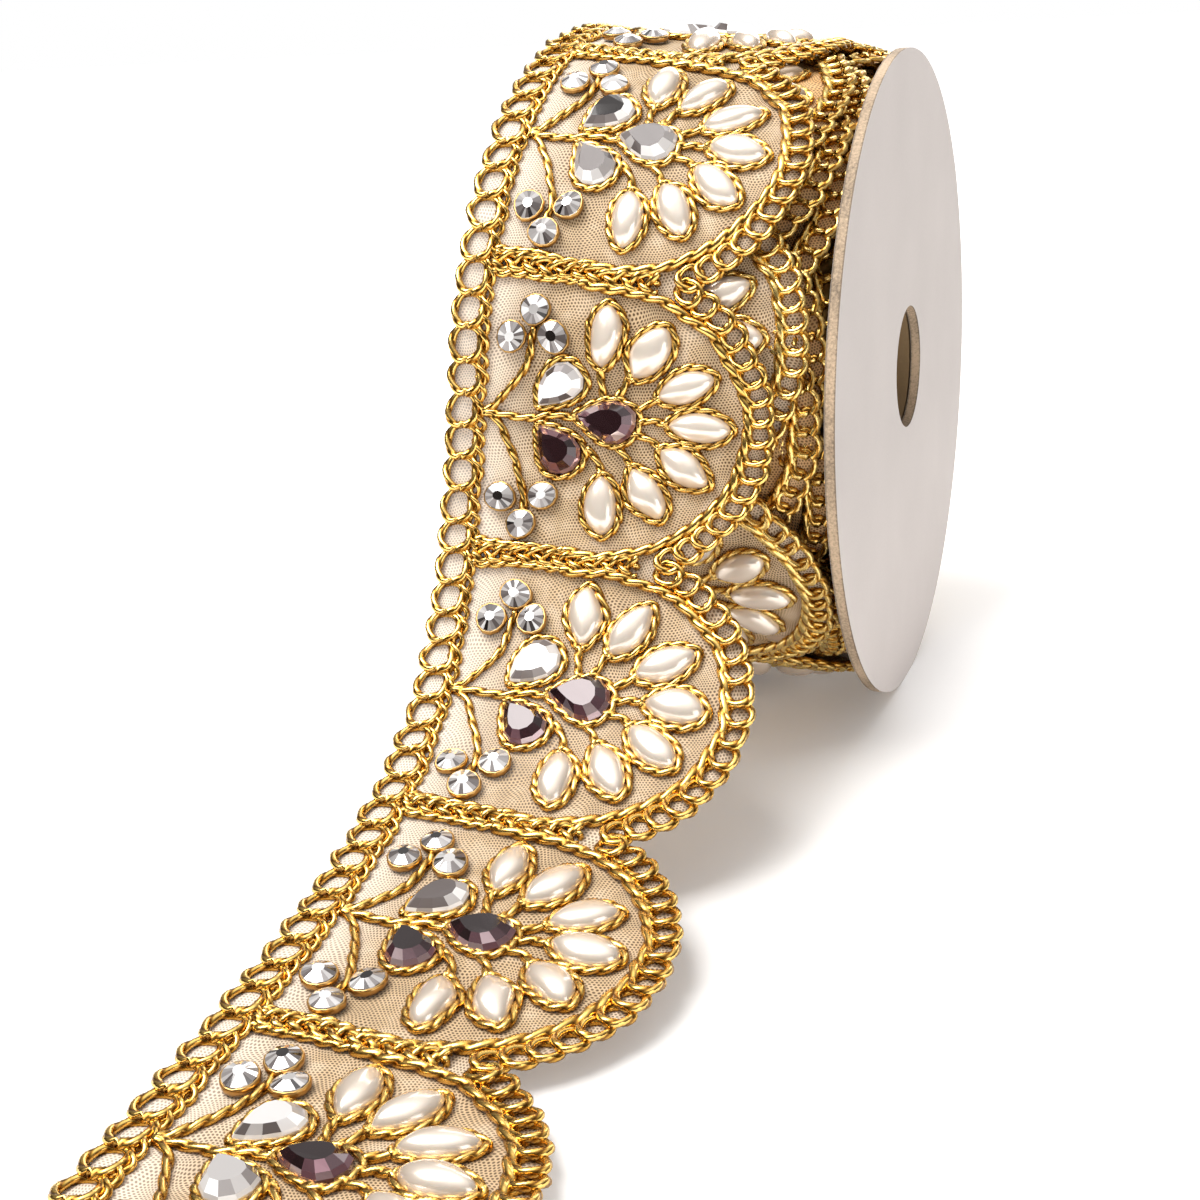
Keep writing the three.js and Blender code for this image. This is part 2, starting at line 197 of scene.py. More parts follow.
@dataclass
class Shape:
    """Vertices and faces as arrays, with marks kept for each vertex and tones for each face."""

    points: np.ndarray
    corners: np.ndarray
    sizes: np.ndarray
    marks: dict[str, np.ndarray] = field(default_factory=dict)
    tones: dict[str, np.ndarray] = field(default_factory=dict)

    def moved(self, points: np.ndarray) -> "Shape":
        """The same shape with other vertices."""
        return Shape(points, self.corners, self.sizes, self.marks, self.tones)

    @staticmethod
    def of(points: list, faces: list[tuple[int, ...]]) -> "Shape":
        """A shape from a list of points and one of faces."""
        corners = np.array([c for face in faces for c in face])
        return Shape(np.array(points, float), corners, np.array([len(face) for face in faces]))

    @staticmethod
    def join(shapes: list["Shape"]) -> "Shape":
        """Several shapes as one."""
        starts = np.cumsum([0] + [len(s.points) for s in shapes[:-1]])
        return Shape(
            np.concatenate([s.points for s in shapes]),
            np.concatenate([s.corners + start for s, start in zip(shapes, starts)]),
            np.concatenate([s.sizes for s in shapes]),
            {name: np.concatenate([s.marks[name] for s in shapes]) for name in shapes[0].marks},
            {name: np.concatenate([s.tones[name] for s in shapes]) for name in shapes[0].tones},
        )

    @staticmethod
    def read(mesh: Mesh, marks: tuple[str, ...]) -> "Shape":
        """A shape from a mesh, with the named vertex values."""
        points = np.empty(len(mesh.vertices) * 3)
        mesh.vertices.foreach_get("co", points)
        corners = np.empty(len(mesh.loops), int)
        mesh.loops.foreach_get("vertex_index", corners)
        sizes = np.empty(len(mesh.polygons), int)
        mesh.polygons.foreach_get("loop_total", sizes)
        kept = {name: np.empty(len(mesh.vertices)) for name in marks}
        for name, values in kept.items():
            mesh.attributes[name].data.foreach_get("value", values)
        return Shape(points.reshape(-1, 3), corners, sizes, kept)

    def make(self, name: str, material: Material, smooth: bool = True) -> Object:
        """A mesh object of this shape.

        Args:
            name: the piece's name.
            material: its finish.
            smooth: whether its faces are shaded smooth.

        Returns:
            The object, at the origin and linked to the scene.
        """
        mesh = bpy.data.meshes.new(name)
        mesh.vertices.add(len(self.points))
        mesh.vertices.foreach_set("co", self.points.astype(np.float32).ravel())
        mesh.loops.add(len(self.corners))
        mesh.loops.foreach_set("vertex_index", self.corners.astype(np.int32))
        mesh.polygons.add(len(self.sizes))
        starts = np.concatenate([[0], np.cumsum(self.sizes[:-1])])
        mesh.polygons.foreach_set("loop_start", starts.astype(np.int32))
        mesh.polygons.foreach_set("loop_total", self.sizes.astype(np.int32))
        mesh.polygons.foreach_set("use_smooth", np.full(len(self.sizes), smooth))
        for values, domain in ((self.marks, "POINT"), (self.tones, "FACE")):
            for key, value in values.items():
                if value.ndim == 2:
                    uv = mesh.uv_layers.new(name=key)
                    uv.data.foreach_set("uv", value[self.corners].astype(np.float32).ravel())
                else:
                    kept = mesh.attributes.new(key, "FLOAT", domain)
                    kept.data.foreach_set("value", value.astype(np.float32))
        mesh.materials.append(material)
        mesh.update(calc_edges=True)
        made = bpy.data.objects.new(name, mesh)
        bpy.context.scene.collection.objects.link(made)
        return made


# Nodes

class Craft:
    """Adds and links the nodes of one tree."""

    def __init__(self, tree: NodeTree) -> None:
        """Works on the given tree."""
        self.tree = tree

    def add(self, kind: str, **settings: object) -> Node:
        """A new node with its settings."""
        node = self.tree.nodes.new(kind)
        for key, value in settings.items():
            setattr(node, key, value)
        return node

    def feed(self, node: Node, inputs: dict[str | int, object]) -> None:
        """Links a node's inputs to other sockets, or sets their values."""
        for key, value in inputs.items():
            socket = node.inputs[key]
            if isinstance(value, NodeSocket):
                self.tree.links.new(value, socket)
            else:
                socket.default_value = (*value, 1.0) if socket.type == "RGBA" else value

    def use(self, kind: str, inputs: dict[str | int, object], **settings: object) -> NodeSocket:
        """A new node with its inputs fed, and its first output."""
        node = self.add(kind, **settings)
        self.feed(node, inputs)
        return node.outputs[0]

    def math(self, operation: str, *values: object, clamp: bool = False) -> NodeSocket:
        """A Math node's result."""
        return self.use("ShaderNodeMath", dict(enumerate(values)), operation=operation, use_clamp=clamp)

    def vector(self, operation: str, *values: object) -> NodeSocket:
        """A Vector Math node's vector result."""
        return self.use("ShaderNodeVectorMath", dict(enumerate(values)), operation=operation)

    def split(self, vector: NodeSocket) -> dict[str, NodeSocket]:
        """A vector's parts by name."""
        return self.use("ShaderNodeSeparateXYZ", {0: vector}).node.outputs

    def mapped(
        self, value: object, low: float, high: float, start: float = 0, end: float = 1, smooth: bool = False
    ) -> NodeSocket:
        """A value from low to high as one from start to end."""
        return self.use(
            "ShaderNodeMapRange",
            {"Value": value, "From Min": low, "From Max": high, "To Min": start, "To Max": end},
            interpolation_type="SMOOTHSTEP" if smooth else "LINEAR",
        )

    def ramp(self, factor: NodeSocket, stops: Stops) -> NodeSocket:
        """A colour ramp's colour."""
        colour = self.use("ShaderNodeValToRGB", {0: factor})
        elements = colour.node.color_ramp.elements
        while len(elements) < len(stops):
            elements.new(0.5)
        for element, (place, shade) in zip(elements, stops):
            element.position = place
            element.color = (*shade, 1.0)
        return colour

    def blend(self, factor: object, a: object, b: object) -> NodeSocket:
        """Two colours mixed."""
        return self.use("ShaderNodeMix", {0: factor, 6: a, 7: b}, data_type="RGBA").node.outputs[2]

    def noise(
        self, vector: NodeSocket, scale: object, detail: float, roughness: float = 0.5, distortion: float = 0
    ) -> NodeSocket:
        """A Noise node's value."""
        inputs = {"Vector": vector, "Scale": scale, "Detail": detail}
        return self.use("ShaderNodeTexNoise", {**inputs, "Roughness": roughness, "Distortion": distortion})

    def bump(self, height: NodeSocket, strength: float, distance: object) -> NodeSocket:
        """The normal of a relief."""
        return self.use("ShaderNodeBump", {"Height": height, "Strength": strength, "Distance": distance})

    def mark(self, name: str) -> NodeSocket:
        """A value that the mesh keeps under this name."""
        return self.add("ShaderNodeAttribute", attribute_name=name).outputs["Fac"]

    def place(self, kind: str = "Object") -> NodeSocket:
        """Object coordinates, or others of the same node."""
        return self.add("ShaderNodeTexCoord").outputs[kind]


class GroupCraft(Craft):
    """Makes a node group: given holds its inputs, and made takes its outputs."""

    def __init__(self, name: str, kind: str, inputs: dict[str, str], outputs: dict[str, str]) -> None:
        """Starts the group.

        Args:
            name: its name.
            kind: Shader or Geometry.
            inputs: the kind of each input by its name.
            outputs: the kind of each output by its name.
        """
        super().__init__(bpy.data.node_groups.new(name, f"{kind}NodeTree"))
        for way, sockets in (("INPUT", inputs), ("OUTPUT", outputs)):
            for label, socket in sockets.items():
                self.tree.interface.new_socket(label, in_out=way, socket_type=f"NodeSocket{socket}")
        self.given = self.add("NodeGroupInput").outputs
        self.made = self.add("NodeGroupOutput")

    def geo(self, kind: str, inputs: dict[str, object], **settings: object) -> NodeSocket:
        """The first output of a new Geometry Nodes node."""
        return self.use(f"GeometryNode{kind}", inputs, **settings)

    def named(self, name: str) -> NodeSocket:
        """A value that the points keep under this name."""
        return self.geo("InputNamedAttribute", {"Name": name}, data_type="FLOAT")


class Workshop:
    """Geometry Nodes trees that sweep twisted cord, chain rings and set gems, all in the flat pattern."""

    CORD_INPUTS = {"Sides": "Int", "Pitch": "Float", "Waist": "Float"}

    def __init__(self) -> None:
        """Builds the trees."""
        self.sweep = self._sweep_tree()
        self.runs = self._runs_tree()
        self.chain = self._chain_tree()
        self.setting = self._setting_tree()

    @staticmethod
    def _tree(name: str, inputs: dict[str, str]) -> GroupCraft:
        """A geometry tree with a Geometry input and output, and the named inputs."""
        return GroupCraft(name, "Geometry", {"Geometry": "Geometry", **inputs}, {"Geometry": "Geometry"})

    def _sweep_tree(self) -> NodeTree:
        """Two plies twisted round each other along every curve, as thick as the curve's radius."""
        craft = self._tree("twisted_cord", self.CORD_INPUTS)
        waist = craft.given["Waist"]
        length = craft.geo("SplineLength", {})
        half_pitch = craft.math("MULTIPLY", craft.given["Pitch"], 0.5)
        half_turns = craft.math("ROUND", craft.math("DIVIDE", length, half_pitch))
        along = craft.add("GeometryNodeSplineParameter").outputs["Factor"]
        tilt = craft.math("MULTIPLY", craft.math("MULTIPLY", half_turns, math.pi), along)
        upright = craft.geo("SetCurveNormal", {"Curve": craft.given["Geometry"]}, mode="Z_UP")
        tilted = craft.geo("SetCurveTilt", {"Curve": upright, "Tilt": tilt})
        circle = craft.geo("CurvePrimitiveCircle", {"Resolution": craft.given["Sides"], "Radius": 1.0})
        place = craft.geo("InputPosition", {})
        groove = craft.math("POWER", craft.math("ABSOLUTE", craft.split(place)["X"]), 4.0)
        crest = craft.math("SUBTRACT", 1.0, groove)
        reach = craft.math("ADD", waist, craft.math("MULTIPLY", crest, craft.math("SUBTRACT", 1.0, waist)))
        marked = {"Geometry": circle, "Name": "ply", "Value": crest}
        stored = craft.geo("StoreNamedAttribute", marked, data_type="FLOAT", domain="POINT")
        scaled = craft.use("ShaderNodeVectorMath", {0: place, "Scale": reach}, operation="SCALE")
        profile = craft.geo("SetPosition", {"Geometry": stored, "Position": scaled})
        thick = craft.geo("InputRadius", {})
        swept = {"Curve": tilted, "Profile Curve": profile, "Scale": thick, "Fill Caps": True}
        craft.feed(craft.made, {"Geometry": craft.geo("CurveToMesh", swept)})
        return craft.tree

    @staticmethod
    def _finish(craft: GroupCraft, geometry: NodeSocket) -> NodeTree:
        """Ends a tree: instances made real, and the material set."""
        real = craft.geo("RealizeInstances", {"Geometry": geometry})
        dressed = craft.geo("SetMaterial", {"Geometry": real, "Material": craft.given["Finish"]})
        craft.feed(craft.made, {"Geometry": dressed})
        return craft.tree

    def _swept(self, craft: GroupCraft, curve: NodeSocket) -> NodeTree:
        """Ends a tree with the twisted cord along a curve, in the tree's own sizes."""
        sizes = {name: craft.given[name] for name in self.CORD_INPUTS}
        return self._finish(craft, craft.geo("Group", {"Geometry": curve, **sizes}, node_tree=self.sweep))

    def _runs_tree(self) -> NodeTree:
        """Cord along every run of edges, as thick as their thickness attribute says."""
        craft = self._tree("cord_runs", {**self.CORD_INPUTS, "Finish": "Material"})
        curve = craft.geo("MeshToCurve", {"Mesh": craft.given["Geometry"]})
        thick = craft.geo("SetCurveRadius", {"Curve": curve, "Radius": craft.named("thickness")})
        return self._swept(craft, thick)

    def _chain_tree(self) -> NodeTree:
        """Rings of cord along every run of edges, each lapped over the next."""
        sizes = {name: "Float" for name in ("Across", "Along", "Lift", "Thickness")}
        counts = {"Rings": "Int", "Steps": "Int"}
        craft = self._tree("ring_chain", {**counts, **sizes, **self.CORD_INPUTS, "Finish": "Material"})
        given = craft.given
        curve = craft.geo("MeshToCurve", {"Mesh": given["Geometry"]})
        spaced = craft.geo("ResampleCurve", {"Curve": curve, "Count": given["Rings"]})
        ring = craft.geo("CurvePrimitiveCircle", {"Resolution": given["Steps"], "Radius": 1.0})
        on_ring = craft.split(craft.geo("InputPosition", {}))
        ways = {"X": ("X", "Along"), "Y": ("Y", "Across"), "Z": ("X", "Lift")}
        scaled = {to: craft.math("MULTIPLY", on_ring[of], given[size]) for to, (of, size) in ways.items()}
        lifted = craft.use("ShaderNodeCombineXYZ", scaled)
        shaped = craft.geo("SetPosition", {"Geometry": ring, "Position": lifted})
        ahead = {"Vector": craft.geo("InputTangent", {})}
        turned = craft.use("FunctionNodeAlignEulerToVector", ahead, axis="X", pivot_axis="Z")
        placed = craft.geo("InstanceOnPoints", {"Points": spaced, "Instance": shaped, "Rotation": turned})
        real = craft.geo("RealizeInstances", {"Geometry": placed})
        return self._swept(craft, craft.geo("SetCurveRadius", {"Curve": real, "Radius": given["Thickness"]}))

    def _setting_tree(self) -> NodeTree:
        """One gem on every point, turned and sized as its attributes say."""
        craft = self._tree("set_gems", {"Gem": "Object", "Finish": "Material"})
        gem = craft.geo("ObjectInfo", {"Object": craft.given["Gem"]}).node.outputs["Geometry"]
        turn = craft.use("ShaderNodeCombineXYZ", {"Z": craft.named("turn")})
        places = {"Points": craft.given["Geometry"], "Rotation": turn, "Scale": craft.named("size")}
        return self._finish(craft, craft.geo("InstanceOnPoints", {"Instance": gem, **places}))

    def run(self, tree: NodeTree, source: Mesh, inputs: dict[str, object], marks: tuple[str, ...]) -> Shape:
        """Runs a tree on a mesh.

        Args:
            tree: the Geometry Nodes tree.
            source: the mesh that it starts from.
            inputs: the values of its named inputs.
            marks: the vertex values to keep.

        Returns:
            The result as a shape.
        """
        start = bpy.data.objects.new("start", source)
        bpy.context.scene.collection.objects.link(start)
        modifier = start.modifiers.new("make", "NODES")
        modifier.node_group = tree
        for item in tree.interface.items_tree:
            if item.in_out == "INPUT" and item.name in inputs:
                modifier[item.identifier] = inputs[item.name]
        graph = bpy.context.evaluated_depsgraph_get()
        result = bpy.data.meshes.new_from_object(start.evaluated_get(graph))
        shape = Shape.read(result, marks)
        bpy.data.objects.remove(start)
        bpy.data.meshes.remove(result)
        bpy.data.meshes.remove(source)
        return shape


# Pattern

class Detail(Enum):
    """How finely a cord is swept: length of a step in millimetres, and sides of its section."""

    FINE = (0.44, 12)
    MEDIUM = (0.52, 8)
    COARSE = (0.8, 6)
    ROUGH = (1.15, 4)


class Stone(Enum):
    """The kinds of gem that are set on the lace."""

    PEARL = "pearl"
    CLEAR = "clear_drop"
    PLUM = "plum_drop"
    ROUND = "round_stone"


@dataclass(frozen=True)
class Gem:
    """A gem's place on the flat repeat, in millimetres, and its turn from u towards v in degrees."""

    kind: Stone
    u: float
    v: float
    turn: float
    length: float
    width: float


@dataclass
class Line:
    """A run of cord through flat points, with its radius in millimetres."""

    points: list[tuple[float, float, float]]
    radius: float


def between(rows: tuple[tuple[float, float], ...], at: np.ndarray) -> np.ndarray:
    """Values read off a short table, each row a place and its value."""
    return np.interp(at, *zip(*rows))


def through(points: list[tuple[float, float, float]], step: float) -> np.ndarray:
    """Even points on a smooth line.

    Args:
        points: what the line goes through, as u, v, h.
        step: wanted distance between the points.

    Returns:
        The points, the first and last of them those given.
    """
    p = np.array(points, float)
    if len(p) > 2:
        p = np.vstack([2 * p[0] - p[1], p, 2 * p[-1] - p[-2]])
        t = np.linspace(0, 1, 12, endpoint=False)[:, None]
        parts = [
            0.5 * (2 * b + (c - a) * t + (2 * a - 5 * b + 4 * c - d) * t**2 + (3 * b - a - 3 * c + d) * t**3)
            for a, b, c, d in zip(p, p[1:], p[2:], p[3:])
        ]
        p = np.vstack([*parts, p[-2]])
    reach = np.concatenate([[0], np.cumsum(np.linalg.norm(np.diff(p, axis=0), axis=1))])
    at = np.linspace(0, reach[-1], max(3, round(reach[-1] / step) + 1))
    return np.stack([np.interp(at, reach, column) for column in p.T], -1)


@dataclass
class Pattern:
    """One repeat of the lace drawn flat, in millimetres, its bars at v = -21.35 and 21.35.

    A gem's row is its kind, u, v, turn, length and width. A stem's points are u and v. bar_course is the
    bar's v for u, and bar_spread half the distance between its edge cords. The scallop's cords are round
    scallop_u, scallop_v. Repeats are counted from the first in front of the roll.
    """

    repeat: float = 42.7
    dip: float = 1.8
    dip_width: float = 30.0
    left_edge: float = -2.4
    header_rings: int = 9
    ring_across: float = 2.25
    ring_along: float = 2.48
    rail_u: float = 2.55
    scallop_u: float = 21.4
    scallop_v: float = 1.8
    net_reach: float = 24.5
    chain_radius: float = 23.25
    chain_rings: int = 17
    chain_reach: float = 61.0
    chain_ring: float = 1.7
    chain_along: float = 1.84
    plait_period: float = 7.6
    plait_start: float = 3.0
    plait_end: float = 28.5
    bar_edge_end: float = 19.0
    rope_u: float = 21.3
    rope_v: float = 20.0
    rope_start_u: float = 16.5
    rope_start_v: float = 2.6
    rope_end_v: float = -0.4
    rope_radius: float = 0.86
    cord_radius: float = 0.62
    stem_radius: float = 0.68
    edge_radius: float = 0.64
    rail_radius: float = 0.46
    cord_height: float = 0.5
    loop_gap: float = 0.46
    gems: tuple[Gem, ...] = (
        Gem(Stone.PEARL, 21.1, -11.6, -89, 9.0, 4.9),
        Gem(Stone.PEARL, 27.9, -9.6, -55, 9.0, 4.9),
        Gem(Stone.PEARL, 33.5, -4.8, -26, 9.0, 4.9),
        Gem(Stone.PEARL, 35.8, 1.3, 4, 9.0, 4.9),
        Gem(Stone.PEARL, 33.8, 7.6, 38, 9.0, 4.9),
        Gem(Stone.PEARL, 28.5, 11.9, 60, 9.0, 4.9),
        Gem(Stone.PEARL, 21.9, 13.9, 87, 9.0, 4.9),
        Gem(Stone.CLEAR, 14.4, -4.0, -46, 8.4, 6.2),
        Gem(Stone.PLUM, 14.6, 5.2, 49, 8.4, 6.2),
        Gem(Stone.PLUM, 22.0, 0.8, 8, 9.2, 6.4),
        Gem(Stone.ROUND, 10.3, -14.7, 20, 4.3, 4.3),
        Gem(Stone.ROUND, 7.0, -10.8, 50, 4.3, 4.3),
        Gem(Stone.ROUND, 13.3, -11.0, 80, 4.3, 4.3),
        Gem(Stone.ROUND, 6.6, 13.0, 10, 4.3, 4.3),
        Gem(Stone.ROUND, 12.9, 12.6, 70, 4.3, 4.3),
        Gem(Stone.ROUND, 9.9, 17.0, 35, 4.3, 4.3),
    )
    stems: tuple[tuple[tuple[float, float], ...], ...] = (
        ((20.8, -7.0), (20.7, -5.0), (21.4, -2.4)),
        ((25.0, -6.8), (24.3, -4.4), (23.2, -2.6)),
        ((29.8, -3.2), (28.4, -2.2), (26.6, -1.1)),
        ((31.0, 0.9), (28.8, 0.7), (26.8, 1.1)),
        ((30.4, 4.7), (28.4, 3.4), (26.0, 2.9)),
        ((26.0, 7.9), (25.0, 6.2), (23.3, 4.3)),
        ((21.6, 9.2), (21.0, 7.2), (19.4, 5.0)),
        ((3.4, 0.4), (7.0, 0.8), (10.5, 0.9), (14.0, 0.4), (17.5, 0.5)),
        ((3.4, 0.2), (5.0, -0.8), (6.5, -2.6), (8.2, -4.8), (9.3, -6.8), (10.0, -9.4), (10.2, -12.3)),
        ((3.4, 0.6), (4.5, 1.0), (6.0, 2.7), (7.3, 5.0), (9.2, 9.5), (9.9, 12.4), (9.9, 15.0)),
    )
    bar_course: tuple[tuple[float, float], ...] = (
        (3, -21.35), (8, -21.2), (13, -20.8), (17.5, -20.2), (21, -19.7), (25, -19.55)
    )
    bar_spread: tuple[tuple[float, float], ...] = (
        (3, 1.65), (13, 1.6), (17.5, 1.5), (21, 1.25), (25, 1.8), (29, 2.5)
    )
    # Repeats whose clear drops have a darker painted reflection in the table, by how much.
    dimmed_table_reflections: dict[int, float] = field(default_factory=lambda: {-1: 0.8, 0: 0.8, 3: 0.6, 4: 0.25})
    all_clear: tuple[int, ...] = (-2, -1, 0)
    left_clear: tuple[int, ...] = (4,)
    left_until_u: float = 18.0

    def __post_init__(self) -> None:
        """Works out the distance between the header's rings."""
        self.ring_pitch = self.repeat / self.header_rings

    def kind_at(self, index: int, repeat: int) -> Stone:
        """The kind of one gem in one repeat, as some repeats have clear drops for the plum ones."""
        gem = self.gems[index]
        clear = repeat in self.all_clear or repeat in self.left_clear and gem.u < self.left_until_u
        return Stone.CLEAR if gem.kind is Stone.PLUM and clear else gem.kind

    def dipped(self, u: np.ndarray) -> np.ndarray:
        """How far the pattern lags along the strip at this u."""
        return self.dip * np.clip(u / self.dip_width, 0, 1) ** 2

    def _loop(self, gem: Gem) -> Line:
        """Cord round a gem, both its ends at the pointed end, the last lying over the first."""
        turn = math.radians(gem.turn)
        points = []
        for step in range(25):
            x, y = outline(gem.kind, math.pi + math.tau * step / 24)
            a, b = x * (gem.length / 2 + self.loop_gap), y * (gem.width / 2 + self.loop_gap)
            u = gem.u + a * math.cos(turn) - b * math.sin(turn)
            v = gem.v + a * math.sin(turn) + b * math.cos(turn)
            points.append((u, v, self.cord_height + (0.3 if step == 24 else 0.0)))
        return Line(points, self.cord_radius)

    def loop_lines(self) -> list[Line]:
        """Cords round the gems."""
        return [self._loop(gem) for gem in self.gems if gem.kind is not Stone.ROUND]

    def stem_lines(self) -> list[Line]:
        """Cords that join the gems."""
        height = self.cord_height - 0.05
        return [Line([(u, v, height) for u, v in stem], self.stem_radius) for stem in self.stems]

    def rope_lines(self) -> list[Line]:
        """The thick cord round the scallop's inner edge."""
        points = [(self.rope_start_u, self.rope_start_v - self.repeat / 2, self.cord_height)]
        for step in range(41):
            t = math.radians(-90 + 180 * step / 40)
            u = self.scallop_u + self.rope_u * math.cos(t)
            points.append((u, self.scallop_v + self.rope_v * math.sin(t), 0.62))
        points.append((self.rope_start_u, self.rope_end_v + self.repeat / 2, self.cord_height))
        return [Line(points, self.rope_radius)]

    def bar_lines(self) -> list[Line]:
        """The bar at the repeat's start: a cord along each edge, and three plaited between them."""
        u = np.arange(self.plait_start, self.plait_end, 0.5)
        turn = u * math.tau / self.plait_period
        course, spread = between(self.bar_course, u), between(self.bar_spread, u)
        lines = []
        for side in (-1, 1):
            near = u < self.bar_edge_end
            v = course[near] + side * spread[near] + 0.14 * np.cos(3 * turn[near] + side)
            lines.append(Line([*zip(u[near], v, np.full_like(v, 0.55))], self.edge_radius))
        for strand in range(3):
            phase = turn + strand * math.tau / 3
            v = course + 0.66 * spread * np.sin(phase)
            lines.append(Line([*zip(u, v, 0.65 + 0.42 * np.sin(2 * phase))], self.cord_radius))
        return lines

    def rail_lines(self) -> list[Line]:
        """Two cords that cross each other along the inner side of the header's rings."""
        v = np.linspace(-self.repeat / 2, self.repeat / 2, self.header_rings * 10 + 1)
        turn = (v + self.repeat / 2) * math.tau * self.header_rings / self.repeat
        lines = []
        for side in (-1, 1):
            u, h = self.rail_u - side * 0.7 * np.cos(turn), 0.5 + side * 0.25 * np.sin(turn)
            lines.append(Line([*zip(u, v, h)], self.rail_radius))
        return lines

    def header_path(self) -> np.ndarray:
        """Middles of the header's rings."""
        v = -self.repeat / 2 + self.ring_pitch * (np.arange(self.header_rings) + 0.5)
        return np.stack([0 * v, v, 0 * v + 0.6], -1)

    def chain_path(self) -> np.ndarray:
        """Middles of the rings round the scallop."""
        t = np.radians(np.linspace(-self.chain_reach, self.chain_reach, self.chain_rings))
        r = self.chain_radius
        return np.stack([self.scallop_u + r * np.cos(t), self.scallop_v + r * np.sin(t), 0 * t + 0.55], -1)

    def left_u(self, w: np.ndarray) -> np.ndarray:
        """The net's left edge, which follows the header's rings."""
        off = (w + self.repeat / 2) / self.ring_pitch % 1.0 - 0.5
        return self.left_edge * np.sqrt(np.maximum(0.02, 1 - (off / 0.52) ** 2))

    def edge_u(self, w: np.ndarray) -> np.ndarray:
        """The net's outer edge at this distance from the repeat's middle."""
        within = np.clip(w, -self.repeat / 2, self.repeat / 2)
        return self.scallop_u + np.sqrt(self.net_reach**2 - within**2)


def outline(kind: Stone, t: float, sharp: float = 1.0) -> tuple[float, float]:
    """A gem's outline of half width 1.

    Args:
        kind: the kind of gem.
        t: the angle, 0 at its rounder end and pi at its pointed end, if it has one.
        sharp: how pointed a pearl's ends are, 0 for an ellipse.

    Returns:
        The outline's x and y.
    """
    x, y = math.cos(t), math.sin(t)
    if kind is Stone.PEARL:
        return x, y * abs(y) ** (sharp * (0.36 - 0.2 * x))
    if kind is Stone.ROUND:
        return x, y
    return x, y * max(0.0, math.cos(t / 2 if t <= math.pi else math.pi - t / 2)) ** 0.85 / 0.7945


@dataclass
class Sway:
    """Small smooth differences from one repeat to the next, in millimetres."""

    amount: float = 0.16
    lift: float = 0.1

    def __post_init__(self) -> None:
        """Draws the waves: span, phase and span across of each."""
        rng = np.random.default_rng(SEED)
        self.waves = [(rng.uniform(5, 17), rng.uniform(0, math.tau), rng.uniform(6, 30)) for _ in range(12)]

    def apply(self, flat: np.ndarray, middle: float) -> np.ndarray:
        """Flat points moved a little, where the repeat's middle is at this length."""
        moved = flat.copy()
        s, u = flat[:, 1] + middle, flat[:, 0]
        for index, (span, phase, cross) in enumerate(self.waves):
            wave = np.sin(s * math.tau / span + phase + u * math.tau / cross)
            axis = index % 3
            moved[:, axis] += wave * (self.lift if axis == 2 else self.amount) / 2
        return moved


# Finishes

class Groups:
    """Shader groups that several finishes share."""

    def __init__(self) -> None:
        """Builds the groups."""
        self.ply = self._ply()
        self.grain = self._grain()

    @staticmethod
    def _ply() -> NodeTree:
        """Twisted cord: where a ply's crest is, with painted shade on cords that lie low, and the normal of
        its fine strands.
        """
        outputs = {"Crest": "Float", "Strands": "Float", "Normal": "Vector"}
        craft = GroupCraft("ply_relief", "Shader", {"Strand": "Float"}, outputs)
        strands = craft.noise(craft.place(), craft.given["Strand"], 2.0, 0.6, 0.4)
        crest = craft.mapped(craft.mark("ply"), 0.0, 0.8, smooth=True)
        # The height mark paints shade on cords that lie low, where shade falls.
        stood = craft.mapped(craft.mark("high"), -0.1, 1.1, 0.3, 1.0, smooth=True)
        normal = craft.bump(strands, 0.08, 0.05 * MM)
        crest_with_painted_shade = craft.math("MULTIPLY", crest, stood)
        craft.feed(craft.made, {"Crest": crest_with_painted_shade, "Strands": strands, "Normal": normal})
        return craft.tree

    @staticmethod
    def _grain() -> NodeTree:
        """Paper and board: a mottled value and the normal of its fibres."""
        inputs = {"Fibre": "Float", "Depth": "Float"}
        craft = GroupCraft("board_grain", "Shader", inputs, {"Mottle": "Float", "Normal": "Vector"})
        place = craft.place()
        fine = craft.noise(place, craft.given["Fibre"], 4.0, 0.65)
        broad = craft.noise(place, 60.0, 3.0)
        mottle = craft.math("ADD", craft.math("MULTIPLY", fine, 0.5), craft.math("MULTIPLY", broad, 0.5))
        craft.feed(craft.made, {"Mottle": mottle, "Normal": craft.bump(fine, 0.5, craft.given["Depth"])})
        return craft.tree


def finish(name: str) -> tuple[Material, Craft, Node]:
    """A new material, the craft of its nodes and its Principled BSDF."""
    material = bpy.data.materials.new(name)
    material.use_nodes = True
    return material, Craft(material.node_tree), material.node_tree.nodes["Principled BSDF"]


def shaded(colour: Colour, share: float) -> Colour:
    """A colour at a share of its brightness."""
    return tuple(c * share for c in colour)


